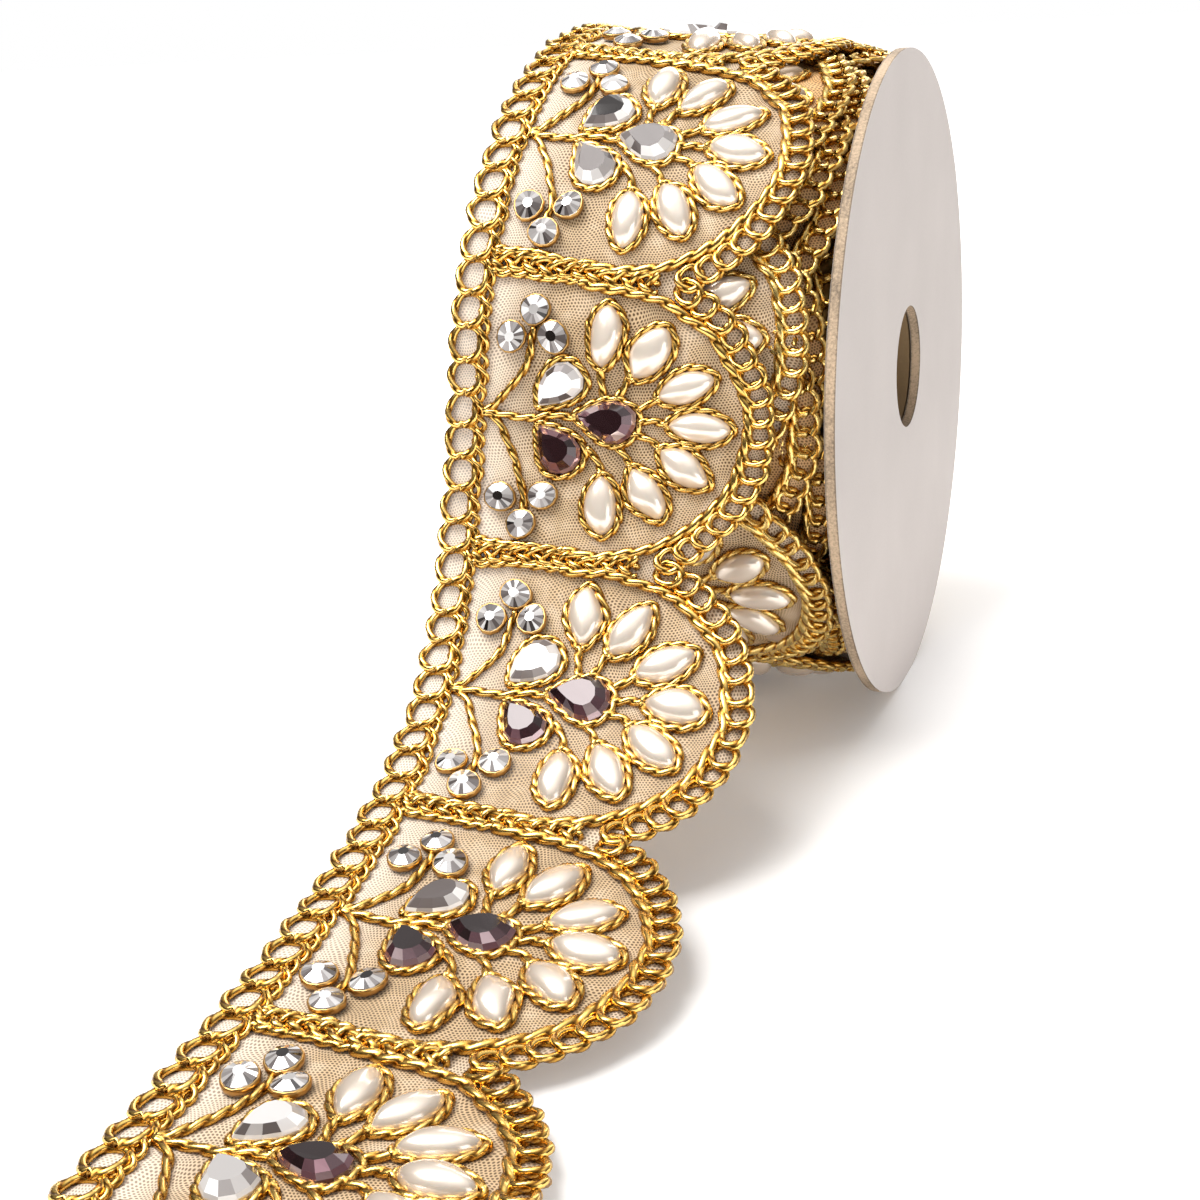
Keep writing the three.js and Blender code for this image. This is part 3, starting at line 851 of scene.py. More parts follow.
@dataclass(frozen=True)
class YarnFinish:
    """Metallic yarn with painted shade in the crevices between its plies and a painted highlight on their
    crests.
    """

    name: str
    # Painted shade in the crevices, the plies' own colour, and a painted highlight on the crests.
    crevice_painted_shade: Colour = (0.18, 0.068, 0.005)
    middle: Colour = (0.6, 0.32, 0.045)
    bright: Colour = (0.94, 0.61, 0.17)
    roughness: float = 0.2
    coat: float = 0.18
    strand: float = 1100.0

    def make(self, groups: Groups) -> Material:
        """The material."""
        material, craft, shader = finish(self.name)
        relief = craft.add("ShaderNodeGroup", node_tree=groups.ply)
        craft.feed(relief, {"Strand": self.strand})
        uneven = craft.math("ADD", relief.outputs["Strands"], 0.5)
        crest = craft.math("MULTIPLY", relief.outputs["Crest"], uneven, clamp=True)
        # Base colour: painted shade in the crevices, painted highlight on the crests.
        craft.feed(shader, {
            "Base Color": craft.ramp(crest, ((0.0, self.crevice_painted_shade), (0.45, self.middle), (1.0, self.bright))),
            "Metallic": craft.math("MULTIPLY_ADD", relief.outputs["Crest"], 0.1, 0.9),
            "Roughness": self.roughness,
            "Coat Weight": self.coat,
            "Coat Roughness": 0.12,
            "Normal": relief.outputs["Normal"],
        })
        return material


@dataclass(frozen=True)
class NetFinish:
    """Fine net: pale threads round small dark meshes in staggered rows that wander."""

    name: str
    thread: Colour = (0.65, 0.475, 0.28)
    cloudy: Colour = (0.78, 0.62, 0.44)
    # Paler net by the header: its own look, lightened further as painted light against the cords' shade.
    milky_and_painted_light: Colour = (0.92, 0.81, 0.68)
    mesh: Colour = (0.11, 0.052, 0.014)
    pitch: float = 0.47
    slant: float = 0.35
    wander: float = 1.7
    thread_cover: float = 0.98
    mesh_cover: float = 0.9

    def _meshes(self, craft: Craft, uv: NodeSocket) -> NodeSocket:
        """How open the net is, from three crossing waves: 1 in the middle of a mesh."""
        drift = craft.noise(uv, 0.24, 0.0).node.outputs["Color"]
        shifted = craft.vector("ADD", uv, craft.vector("MULTIPLY", drift, (self.wander, self.wander, 0.0)))
        wave = math.tau / (self.pitch * math.sqrt(3) / 2)
        ripples = []
        for third in range(3):
            turn = self.slant + third * math.pi / 3
            direction = (wave * math.cos(turn), wave * math.sin(turn), 0.0)
            along = craft.vector("DOT_PRODUCT", shifted, direction).node.outputs["Value"]
            ripples.append(craft.math("COSINE", along))
        total = craft.math("ADD", craft.math("ADD", ripples[0], ripples[1]), ripples[2])
        return craft.mapped(total, -0.6, 1.3, smooth=True)

    def make(self) -> Material:
        """The material, whose underside lets light through."""
        material, craft, shader = finish(self.name)
        uv = craft.add("ShaderNodeUVMap", uv_map="weave").outputs[0]
        # pale marks the net's own paler edge by the header and painted light that lifts the shade of the
        # cords and rings.
        near = craft.mark("pale")
        cloud = craft.noise(uv, 0.17, 3.0, 0.6)
        shade = craft.ramp(cloud, ((0.3, shaded(self.thread, 0.78)), (0.5, self.thread), (0.7, self.cloudy)))
        faint = craft.math("MULTIPLY", craft.mapped(cloud, 0.5, 0.68), 0.3)
        clear = craft.math("MAXIMUM", craft.math("MULTIPLY", near, 0.45), faint)
        opening = craft.math("MULTIPLY", self._meshes(craft, uv), craft.math("SUBTRACT", 1.0, clear))
        cover = craft.mapped(opening, 0.0, 1.0, self.thread_cover, self.mesh_cover)
        craft.feed(shader, {
            "Base Color": craft.blend(opening, craft.blend(near, shade, self.milky_and_painted_light), self.mesh),
            "Roughness": 0.6,
            "Sheen Weight": 0.05,
            "Sheen Roughness": 0.4,
            "Alpha": craft.math("MULTIPLY", cover, craft.math("SUBTRACT", 1.0, craft.mark("under"))),
        })
        return material


@dataclass(frozen=True)
class PearlFinish:
    """Glossy cream pearl, with painted shade towards its rim, where it turns away."""

    name: str
    body: Colour = (0.93, 0.83, 0.72)
    # The edge colour is painted shade at the rim.
    edge: Colour = (0.46, 0.32, 0.21)

    def make(self) -> Material:
        """The material."""
        material, craft, shader = finish(self.name)
        painted_rim_shade = craft.use("ShaderNodeLayerWeight", {"Blend": 0.35}).node.outputs["Facing"]
        craft.feed(shader, {
            "Base Color": craft.blend(painted_rim_shade, self.body, self.edge),
            "Roughness": 0.24,
            "Metallic": 0.42,
            "Subsurface Weight": 0.1,
            "Subsurface Radius": (0.9 * MM, 0.6 * MM, 0.4 * MM),
            "Subsurface Scale": 1.0,
            "Coat Weight": 1.0,
            "Coat Roughness": 0.04,
            "Coat IOR": 1.6,
        })
        return material


@dataclass(frozen=True)
class StoneFinish:
    """Foil-backed faceted stone whose facets differ in tone: the tones paint their reflections."""

    name: str
    stops: Stops
    metallic: float = 0.55
    coat: float = 1.0
    specular: float = 0.5

    def make(self) -> Material:
        """The material."""
        material, craft, shader = finish(self.name)
        craft.feed(shader, {
            "Base Color": craft.ramp(craft.mark("tone"), self.stops),
            "Metallic": self.metallic,
            "Roughness": 0.08,
            "Specular IOR Level": self.specular,
            "Coat Weight": self.coat,
            "Coat Roughness": 0.02,
        })
        return material


@dataclass(frozen=True)
class BoardFinish:
    """Card with paper faces, with painted light low down and painted shade high up, and layers at its cut
    edges between the faces.
    """

    name: str
    low_x: float
    high_x: float
    paper: Colour = (0.555, 0.505, 0.475)
    kraft: Colour = (0.62, 0.46, 0.31)
    skin: float = 0.02 * MM
    foot_painted_light: Colour = (1.24, 1.24, 1.25)
    top_painted_shade: Colour = (0.95, 0.95, 0.955)
    upper_z: float = 48 * MM

    def make(self, groups: Groups) -> Material:
        """The material."""
        material, craft, shader = finish(self.name)
        at = craft.split(craft.place())
        past = craft.math("GREATER_THAN", at["X"], self.low_x + self.skin)
        short = craft.math("LESS_THAN", at["X"], self.high_x - self.skin)
        off = craft.math("ABSOLUTE", craft.math("SUBTRACT", at["X"], (self.low_x + self.high_x) / 2))
        layers = craft.mapped(off, 0.5 * MM, 0.75 * MM, 0.03, -0.14)
        grain = craft.add("ShaderNodeGroup", node_tree=groups.grain)
        craft.feed(grain, {"Fibre": 2600.0, "Depth": 0.05 * MM})
        mottle = grain.outputs["Mottle"]
        face = craft.ramp(mottle, ((0.3, shaded(self.paper, 0.9)), (0.7, self.paper)))
        # Painted light low down and painted shade high up, as the light falls.
        light = craft.blend(craft.mapped(at["Z"], 0.0, self.upper_z), self.foot_painted_light, self.top_painted_shade)
        layered = craft.math("ADD", layers, mottle)
        edge = craft.ramp(layered, ((0.36, shaded(self.kraft, 0.3)), (0.6, self.kraft)))
        at_edge = craft.math("MULTIPLY", past, short)
        craft.feed(shader, {
            "Base Color": craft.blend(at_edge, craft.vector("MULTIPLY", face, light), edge),
            "Roughness": 0.72,
            "Normal": grain.outputs["Normal"],
        })
        return material


@dataclass(frozen=True)
class PackedFinish:
    """What shows of the deeper turns between the cords: dim gold, with painted shade between the turns and
    the cells.
    """

    name: str
    axis: tuple[float, float, float]
    end_x: float
    turn_pitch: float
    plies: float = 150.0
    # Painted shade between the turns, and the dim gold on them.
    dark: Colour = (0.05, 0.028, 0.01)
    gold: Colour = (0.6, 0.36, 0.1)

    def _wound(self, craft: Craft, place: NodeSocket) -> NodeSocket:
        """The edges of the turns on the open end: 1 on the crest of each ply, 0 between the turns."""
        arm = craft.split(craft.vector("SUBTRACT", place, self.axis))
        ahead = craft.math("MULTIPLY", arm["Y"], -1.0)
        squares = [craft.math("POWER", side, 2.0) for side in (ahead, arm["Z"])]
        reach = craft.math("SQRT", craft.math("ADD", *squares))
        angle = craft.math("ARCTAN2", ahead, arm["Z"])
        turn = craft.math("SUBTRACT", craft.math("MULTIPLY", reach, math.tau / self.turn_pitch), angle)
        rope = craft.mapped(craft.math("COSINE", turn), -0.6, 0.7)
        laid = craft.math("MULTIPLY", angle, self.plies)
        slant = craft.math("ADD", laid, craft.math("MULTIPLY", turn, 0.6))
        ply = craft.math("MULTIPLY_ADD", craft.math("SINE", slant), 0.35, 0.65)
        return craft.math("MULTIPLY", rope, ply)

    def make(self) -> Material:
        """The material."""
        material, craft, shader = finish(self.name)
        place = craft.place()
        cells = craft.add("ShaderNodeTexVoronoi", feature="SMOOTH_F1")
        craft.feed(cells, {"Vector": craft.vector("MULTIPLY", place, (1.0, 0.6, 0.6)), "Scale": 620.0})
        line = craft.mapped(cells.outputs["Distance"], 0.1, 0.6, 1.0, 0.0)
        at_end = craft.math("LESS_THAN", craft.split(place)["X"], self.end_x)
        relief = craft.blend(at_end, line, self._wound(craft, place))
        craft.feed(shader, {
            "Base Color": craft.ramp(relief, ((0.0, self.dark), (1.0, self.gold))),
            "Roughness": 0.35,
            "Metallic": 0.75,
            "Normal": craft.bump(relief, 1.0, 0.4 * MM),
        })
        return material


class Finishes:
    """Every material of the roll."""

    OPEN_END = -50.4
    # Colours of the facets' painted reflections, by tone.
    CLEAR = (
        (0.15, (0.015, 0.011, 0.01)),
        (0.45, (0.17, 0.145, 0.14)),
        (0.8, (0.74, 0.72, 0.71)),
        (0.95, WHITE),
    )
    PLUM = (
        (0.0, (0.022, 0.009, 0.01)),
        (0.45, (0.075, 0.026, 0.035)),
        (0.8, (0.27, 0.13, 0.16)),
        (1.0, (0.6, 0.5, 0.5)),
    )

    def __init__(self, winding: Winding) -> None:
        """Makes the materials."""
        groups = Groups()
        cup = YarnFinish("gold_cup", (0.2, 0.1, 0.03), (0.4, 0.22, 0.07), (0.6, 0.36, 0.12), 0.28)
        # The deeper turns' yarn is a brighter copy of the gold: painted light where little light reaches.
        inner = YarnFinish("inner_yarn_painted_light", (0.22, 0.08, 0.006), (0.85, 0.46, 0.07), (1.0, 0.74, 0.26), 0.26)
        # Copies of the net and the pearl with painted shade, for the wound turns under the outer one.
        painted_shade_net_colours = ((0.74, 0.44, 0.18), (0.8, 0.52, 0.26), (0.84, 0.58, 0.32), (0.17, 0.08, 0.02))
        self.yarn = YarnFinish("gold_yarn").make(groups)
        self.cup = cup.make(groups)
        self.inner_yarn_painted_light = inner.make(groups)
        self.net = NetFinish("gold_net").make()
        self.shaded_net = NetFinish("shaded_net", *painted_shade_net_colours).make()
        self.shaded_pearl = PearlFinish("shaded_pearl", (0.56, 0.42, 0.29), (0.32, 0.2, 0.1)).make()
        axis = (winding.face_x * MM, winding.axis_y * MM, winding.axis_z * MM)
        end = (winding.face_x + self.OPEN_END) * MM
        self.packed = PackedFinish("packed_lace", axis, end, winding.turn_pitch * MM).make()
        faces = ((winding.face_x - winding.card) * MM, winding.face_x * MM)
        brown = (0.26, 0.17, 0.08)
        self.card = BoardFinish("flange_card", *faces).make(groups)
        self.core = BoardFinish("core_card", *faces, paper=brown, kraft=brown).make(groups)
        self.stones = {
            Stone.PEARL: PearlFinish("pearl").make(),
            Stone.CLEAR: StoneFinish("clear_drop", self.CLEAR, 0.12, coat=0.15, specular=0.2).make(),
            Stone.PLUM: StoneFinish("plum_drop", self.PLUM).make(),
            Stone.ROUND: StoneFinish("round_stone", self.CLEAR, 0.3).make(),
        }


# Gems

@dataclass(frozen=True)
class Cut:
    """How a stone is cut: its height in millimetres, the facets in a row, and the scale and share of the
    height of each row's end, the last of them the table's.

    Rim, table and crown are how bright those facets are: tones that paint their reflections. The
    crown's tones vary round the stone by wave, a painted glint, and at random by spread, or are taken from
    choices.
    """

    height: float
    count: int
    rows: tuple[tuple[float, float], ...]
    rim: float
    table: float
    crown: float = 0.0
    wave: float = 0.0
    spread: tuple[float, float] = (0.0, 0.0)
    choices: tuple[float, ...] = ()


CUTS = {
    Stone.CLEAR: Cut(
        height=2.0,
        count=13,
        rows=((1.0, 0.35), (0.93, 0.55), (0.64, 1.0)),
        rim=0.9,
        table=1.0,
        crown=0.72,
        wave=0.2,
        spread=(-0.22, 0.2),
    ),
    Stone.PLUM: Cut(
        height=2.0,
        count=13,
        rows=((1.0, 0.3), (0.89, 0.6), (0.6, 1.0)),
        rim=0.97,
        table=0.04,
        crown=0.42,
        wave=0.28,
        spread=(-0.2, 0.2),
    ),
    Stone.ROUND: Cut(
        height=1.7,
        count=19,
        rows=((1.0, 0.55), (0.95, 0.66), (0.34, 1.0)),
        rim=0.65,
        table=0.15,
        choices=(0.0, 0.3, 0.5, 0.7, 0.9, 1.0, 1.0),
    ),
}


@dataclass
class GemCutter:
    """Makes one gem of each kind at the origin, flat side down, in millimetres."""

    pearl_height: float = 2.4
    pearl_edge: float = 0.25
    cup_height: float = 1.05
    # Tones of the painted reflections: the back, the rim's spread and the turn of the crown's painted glint.
    back_tone: float = 0.4
    rim_spread: tuple[float, float] = (-0.25, 0.05)
    glint_turn: float = 0.9

    def _rings(self, gem: Gem, rings: list[tuple[float, float, float]], count: int) -> Shape:
        """Stacked outlines closed at both ends.

        Args:
            gem: its kind, length and width.
            rings: scale and height of each outline, and how pointed it is or, for a round stone, how uneven.
            count: points of each outline.

        Returns:
            The closed shape.
        """
        points = []
        rng = np.random.default_rng(SEED)
        for scale, height, sharp in rings:
            for i in range(count):
                uneven = sharp * rng.uniform(-0.5, 0.5) if gem.kind is Stone.ROUND else 0.0
                x, y = outline(gem.kind, math.tau * (i + uneven) / count, sharp)
                points.append((x * scale * gem.length / 2, y * scale * gem.width / 2, height))
        faces = [tuple(range(count))[::-1]]
        for r in range(len(rings) - 1):
            for i in range(count):
                a, b = r * count + i, r * count + (i + 1) % count
                faces.append((a, b, b + count, a + count))
        top = (len(rings) - 1) * count
        faces.append(tuple(range(top, top + count)))
        return Shape.of(points, faces)

    def pearl(self, gem: Gem) -> Shape:
        """A smooth dome with pointed ends."""
        edge, rise = self.pearl_edge, self.pearl_height - self.pearl_edge
        rings = [(0.93, 0.0, 1.0), (1.0, edge, 1.0)]
        for i in range(1, 8):
            t = i / 8 * math.pi / 2
            rings.append((math.cos(t) ** 0.85, edge + rise * math.sin(t), 1 - 0.1 * i))
        rings.append((0.05, self.pearl_height, 0.2))
        return self._rings(gem, rings, 22)

    def faceted(self, gem: Gem) -> Shape:
        """A flat-backed cut stone, each face with a tone that paints its reflection."""
        cut = CUTS[gem.kind]
        stack = [(scale, share * cut.height, float(scale < 0.8)) for scale, share in cut.rows]
        shape = self._rings(gem, [(1.0, 0.0, 0.0), *stack], cut.count)
        rng = np.random.default_rng(SEED + cut.count)
        tones = [self.back_tone]
        for row in range(len(cut.rows)):
            for i in range(cut.count):
                if row <= 1:
                    tones.append(cut.rim + rng.uniform(*self.rim_spread))
                elif cut.choices:
                    tones.append(rng.choice(cut.choices))
                else:
                    # A painted glint that waves round the crown.
                    glint = math.cos(math.tau * i / cut.count * 2 - self.glint_turn)
                    tones.append(cut.crown + cut.wave * glint + rng.uniform(*cut.spread))
        tones.append(cut.table)
        shape.tones["tone"] = np.clip(np.array(tones), 0, 1)
        return shape

    def cup(self, gem: Gem) -> Shape:
        """A round metal cup with a lip over the stone's edge."""
        r = gem.length / 2
        top = self.cup_height
        wall = [(r - 0.12, 0.0), (r + 0.2, 0.12), (r + 0.25, 0.5), (r + 0.2, top - 0.12)]
        profile = [*wall, (r + 0.03, top), (r - 0.12, top - 0.2)]
        count, rows = 12, len(profile)
        turns = [math.tau * i / count for i in range(count)]
        points = [(d * math.cos(turn), d * math.sin(turn), z) for d, z in profile for turn in turns]
        faces = []
        for row in range(rows):
            for i in range(count):
                a, b = row * count + i, row * count + (i + 1) % count
                c, d = (row + 1) % rows * count + i, (row + 1) % rows * count + (i + 1) % count
                faces.append((a, b, d, c))
        shape = Shape.of(points, faces)
        shape.marks["ply"] = np.full(len(points), 0.8)
        # Heights, which the yarn reads to paint shade on the cup's lower wall.
        shape.marks["high"] = shape.points[:, 2].copy()
        return shape

    def cut(self, gem: Gem) -> Shape:
        """The gem in its own place at the origin."""
        return self.pearl(gem) if gem.kind is Stone.PEARL else self.faceted(gem)


# Pieces

class Part(Enum):
    """The kinds of cord work in a repeat."""

    HEADER = "header"
    BORDER = "border"
    BAR = "bar"
    MOTIF = "motif"
    EDGE = "edge"


SLOTS = {
    Stone.PEARL: "pearl",
    Stone.CLEAR: "clear_drop",
    Stone.PLUM: "plum_drop",
    Stone.ROUND: "clear_drop",
}


@dataclass(frozen=True)
class Shift:
    """How the trim lies off its even place at one repeat, in millimetres: the whole of it to the side, and
    its scallops lifted off the roll and pulled in."""

    repeat: float
    side: float
    lift: float
    pull: float = 0.0


@dataclass
class Lace:
    """All the trim: the outer length, the turns that show under it, and the gems set on them."""

    winding: Winding
    finishes: Finishes
    pattern: Pattern = field(default_factory=Pattern)
    cutter: GemCutter = field(default_factory=GemCutter)
    sway: Sway = field(default_factory=Sway)
    outer: range = range(-2, 5)
    back: range = range(-7, -2)
    under: range = range(-14, -7)
    deeper: tuple[range, ...] = (range(-21, -14), range(-28, -21), range(-35, -28), range(-42, -35))
    shifts: tuple[Shift, ...] = (
        Shift(-42, -0.3, 7.6),
        Shift(-36, -0.3, 7.2),
        Shift(-34, -0.3, 5.4),
        Shift(-29.6, -0.4, 5.2),
        Shift(-28.9, -0.3, 7.6),
        Shift(-28.2, -0.4, 6.2),
        Shift(-27.2, -0.4, 5.2),
        Shift(-26.1, -0.4, 5.8),
        Shift(-25.5, -0.5, 3.6),
        Shift(-23.3, -0.5, 3.3),
        Shift(-22.4, -0.3, 7.0),
        Shift(-21.5, -0.5, 4.2),
        Shift(-20.8, -0.6, 3.8),
        Shift(-20.4, -0.5, 4.0),
        Shift(-19.4, -0.5, 4.2),
        Shift(-18.6, -1.6, 1.7),
        Shift(-16.4, -1.8, 1.6),
        Shift(-15.5, -0.4, 4.4),
        Shift(-14.7, -1.3, 1.7),
        Shift(-13.9, -1.3, 2.0),
        Shift(-13.4, -0.9, 2.3),
        Shift(-12.6, -0.9, 2.4),
        Shift(-11.6, -2.2, 0.5),
        Shift(-8.9, -2.5, 0.5),
        Shift(-8.1, -0.8, 2.2),
        Shift(-7.4, -2.5, 0.4),
        Shift(-6.4, -2.5, 0.4),
        Shift(-5.8, -1.2, 0.9),
        Shift(-3.9, -1.0, 1.1),
        Shift(-2.6, 0.0, 0.0),
        Shift(-1.9, 0.0, 0.0, 1.0),
        Shift(-1.3, 0.0, -0.4, 4.2),
        Shift(-0.5, 0.0, -0.4, 4.2),
        Shift(0.1, 0.0, 0.0),
    )
    flare_start: float = 24.0
    flare_width: float = 16.0
    gem_base: float = 0.3
    net_thickness: float = 0.16
    least_thickness: float = 0.05
    fine_rows: float = 0.65
    coarse_rows: float = 1.2
    bore: float = 12.6
    packed_depth: tuple[tuple[float, float], ...] = (
        (-51.0, 1.6),
        (-50.0, 0.9),
        (-44.0, 0.9),
        (-36.0, 0.9),
        (-28.0, 0.9),
        (-21.0, 1.2),
        (-17.0, 4.0),
        (-13.0, 7.0),
        (-9.0, 8.5),
        (-5.0, 9.5),
        (-3.2, 9.5),
    )

    def __post_init__(self) -> None:
        """Sets up the workshop and a store of flat parts."""
        self.workshop = Workshop()
        self.flat: dict[tuple[Part, Detail], Shape] = {}

    def _lines_mesh(self, lines: list[Line], step: float) -> Mesh:
        """A mesh of loose edges along lines, with their thickness."""
        points, edges, thickness = [], [], []
        for line in lines:
            run = through(line.points, step)
            edges += [(len(points) + i, len(points) + i + 1) for i in range(len(run) - 1)]
            points += [tuple(p) for p in run]
            thickness += [line.radius] * len(run)
        mesh = bpy.data.meshes.new("lines")
        mesh.from_pydata(points, edges, [])
        mesh.attributes.new("thickness", "FLOAT", "POINT").data.foreach_set("value", thickness)
        return mesh

    def _cord(self, lines: list[Line], detail: Detail, pitch: float) -> Shape:
        """Twisted cord along flat lines."""
        step, sides = detail.value
        inputs = {"Sides": sides, "Pitch": pitch, "Waist": 0.72, "Finish": self.finishes.yarn}
        return self.workshop.run(self.workshop.runs, self._lines_mesh(lines, step), inputs, ("ply",))

    def _rings(
        self, path: np.ndarray, across: float, along: float, lift: float, radius: float, detail: Detail
    ) -> Shape:
        """A chain of lapped rings.

        Args:
            path: the rings' middles.
            across: half a ring's size across the path.
            along: half its size along it.
            lift: how far its front end stands up, and its back end down.
            radius: the cord's radius.
            detail: how finely it is swept.

        Returns:
            The rings as one shape.
        """
        step, sides = detail.value
        mesh = bpy.data.meshes.new("path")
        mesh.from_pydata([tuple(p) for p in path], [(i, i + 1) for i in range(len(path) - 1)], [])
        inputs = {
            "Rings": len(path),
            "Steps": max(10, round(math.pi * (across + along) / step)),
            "Across": across,
            "Along": along,
            "Lift": lift,
            "Thickness": radius,
            "Sides": sides,
            "Pitch": 6.4,
            "Waist": 0.76,
            "Finish": self.finishes.yarn,
        }
        return self.workshop.run(self.workshop.chain, mesh, inputs, ("ply",))

    def _flat(self, part: Part, detail: Detail) -> Shape:
        """The flat cord work of one kind, made once for each fineness."""
        if (part, detail) in self.flat:
            return self.flat[part, detail]
        p = self.pattern
        if part is Part.HEADER:
            shapes = [
                self._rings(p.header_path(), p.ring_across, p.ring_along, 0.4, 0.63, detail),
                self._cord(p.rail_lines(), detail, 4.8),
            ]
        elif part is Part.BORDER:
            shapes = [
                self._rings(p.chain_path(), p.chain_ring, p.chain_along, 0.42, 0.62, detail),
                self._cord(p.rope_lines(), detail, 6.0),
            ]
        elif part is Part.BAR:
            shapes = [self._cord(p.bar_lines(), detail, 4.8)]
        elif part is Part.EDGE:
            shapes = [self._rings(p.header_path(), p.ring_across, p.ring_along, 0.4, 0.6, detail)]
        else:
            shapes = [self._cord(p.loop_lines(), detail, 4.4), self._cord(p.stem_lines(), detail, 5.4)]
        joined = Shape.join(shapes)
        # Heights, which the yarn reads to paint shade on cords that lie low.
        joined.marks["high"] = joined.points[:, 2].copy()
        self.flat[part, detail] = joined
        return joined

    def _laid(self, shape: Shape, repeats: range) -> Shape:
        """A flat shape laid on each of the repeats."""
        laid = []
        for k in repeats:
            middle = (k + 0.5) * self.pattern.repeat
            laid.append(shape.moved(self._bedded(shape.points, middle)))
        return Shape.join(laid)

    def _bedded(self, flat: np.ndarray, middle: float) -> np.ndarray:
        """Flat points laid on the winding, swayed and shifted."""
        at = [(s.repeat, s.side, s.lift, s.pull) for s in self.shifts]
        repeat, side, lift, pull = np.array(at).T
        moved = self.sway.apply(flat, middle)
        repeats = (middle + flat[:, 1]) / self.pattern.repeat
        moved[:, 0] += np.interp(repeats, repeat, side)
        flared = np.clip((flat[:, 0] - self.flare_start) / self.flare_width, 0, 1) ** 1.5
        moved[:, 2] += np.interp(repeats, repeat, lift) * flared
        moved[:, 0] -= np.interp(repeats, repeat, pull) * flared
        return self.winding.lay(moved, middle)

    def _report(self, piece: Object) -> Object:
        """Puts a piece on the body and logs it."""
        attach(piece, "root")
        log.info("%s: %d faces", piece.name, len(piece.data.polygons))
        return piece

    def cords(self, name: str, part: Part, repeats: range, detail: Detail) -> Object:
        """One piece of cord work on the given repeats."""
        shape = self._laid(self._flat(part, detail), repeats)
        outermost = repeats[0] >= self.outer[0]
        # Deeper turns get the yarn with painted light.
        material = self.finishes.yarn if outermost else self.finishes.inner_yarn_painted_light
        return self._report(shape.make(name, material))

    def _woven(self, repeats: range, step: float) -> tuple[np.ndarray, np.ndarray, np.ndarray]:
        """The net's points on the flat repeats.

        Args:
            repeats: the repeats that it backs.
            step: distance between its rows.

        Returns:
            u and v of each point, a row for each row of the net, and v of each row from its repeat's middle.
        """
        p = self.pattern
        row = np.linspace(-p.repeat / 2, p.repeat / 2, round(p.repeat / step) + 1)[:-1]
        w = np.append(np.concatenate([row + k * p.repeat for k in repeats]), (repeats[-1] + 0.5) * p.repeat)
        local = w - np.round(w / p.repeat - 1e-6) * p.repeat
        left = p.left_u(local)[:, None]
        t = np.linspace(0, 1, 22 if step < 1 else 14)
        u = left + t[None, :] * (p.edge_u(local)[:, None] - left)
        return u, w[:, None] + p.dipped(u), local

    def _net_shape(self, u: np.ndarray, v: np.ndarray, on_surface: bool) -> Shape:
        """The net's thin body over its points, flat where it lies on the surface."""
        count = u.size
        sides = [np.stack([u, v, np.full_like(u, h)], -1) for h in (-self.net_thickness, 0.0)]
        flat = np.stack(sides).reshape(-1, 3)
        laid = self._bedded(flat, self.pattern.repeat / 2)
        if on_surface:
            laid[:count, 2] = np.minimum(laid[:count, 2], laid[count:, 2] - self.least_thickness * MM)
        grid = np.arange(count).reshape(u.shape)
        a, b = grid[:-1, :-1].ravel(), grid[:-1, 1:].ravel()
        d, c = grid[1:, :-1].ravel(), grid[1:, 1:].ravel()
        top = np.stack([a, d, c, b], -1) + count
        low = np.stack([a, b, c, d], -1)
        ring = np.concatenate([grid[0, :-1], grid[:-1, -1], grid[-1, :0:-1], grid[:0:-1, 0]])
        after = np.roll(ring, -1)
        rim = np.stack([after, ring, ring + count, after + count], -1)
        faces = np.vstack([top, low, rim])
        shape = Shape(laid, faces.ravel(), np.full(len(faces), 4))
        shape.marks["weave"] = np.concatenate([np.stack([u.ravel(), v.ravel()], -1)] * 2)
        shape.tones["under"] = np.concatenate([np.zeros(len(top)), np.ones(len(low) + len(rim))])
        return shape

    def net(self, name: str, repeats: range, slot: str, material: Material) -> Object:
        """The net that backs the given repeats."""
        p = self.pattern
        outermost = repeats is self.outer
        step = self.fine_rows if outermost else self.coarse_rows
        u, v, local = self._woven(repeats, step)
        shape = self._net_shape(u, v, outermost)
        reach = np.hypot(u - p.scallop_u, local[:, None])
        # Paler by the header, partly the net's own look, and painted light in the border's rings.
        pale = np.maximum(between(((2.4, 1.0), (12.0, 0.0)), u), between(((20.0, 0.0), (22.0, 0.4)), reach))
        shape.marks["pale"] = np.tile(pale.ravel(), 2)
        piece = self._report(shape.make(name, material))
        return piece

    def gems(self, name: str, kind: Stone, repeats: range, slot: str, material: Material) -> Object:
        """The gems of one kind on the given repeats."""
        shape = self._set(kind, repeats, self.cutter.cut, material)
        return self._report(shape.make(name, material, kind is Stone.PEARL))

    def cups(self, name: str, repeats: range) -> Object:
        """The cups of the round stones on the given repeats."""
        shape = self._set(Stone.ROUND, repeats, self.cutter.cup, self.finishes.cup)
        return self._report(shape.make(name, self.finishes.cup))

    def _set(self, kind: Stone, repeats: range, cut: Callable[[Gem], Shape], material: Material) -> Shape:
        """Copies of one kind of gem, or its cup, stood at their places on the repeats.

        Args:
            kind: the kind of gem.
            repeats: the repeats that carry them.
            cut: the method that makes the gem's shape.
            material: its finish.

        Returns:
            All the copies as one shape.
        """
        gems = self.pattern.gems
        shape = cut(next(gem for gem in gems if gem.kind is kind))
        model = shape.make("gem", material)
        laid = []
        tables = []
        for repeat in repeats:
            places = [gem for i, gem in enumerate(gems) if self.pattern.kind_at(i, repeat) is kind]
            if not places:
                continue
            flat = self._stood(places, model, shape, material)
            laid.append(self._laid(flat, range(repeat, repeat + 1)))
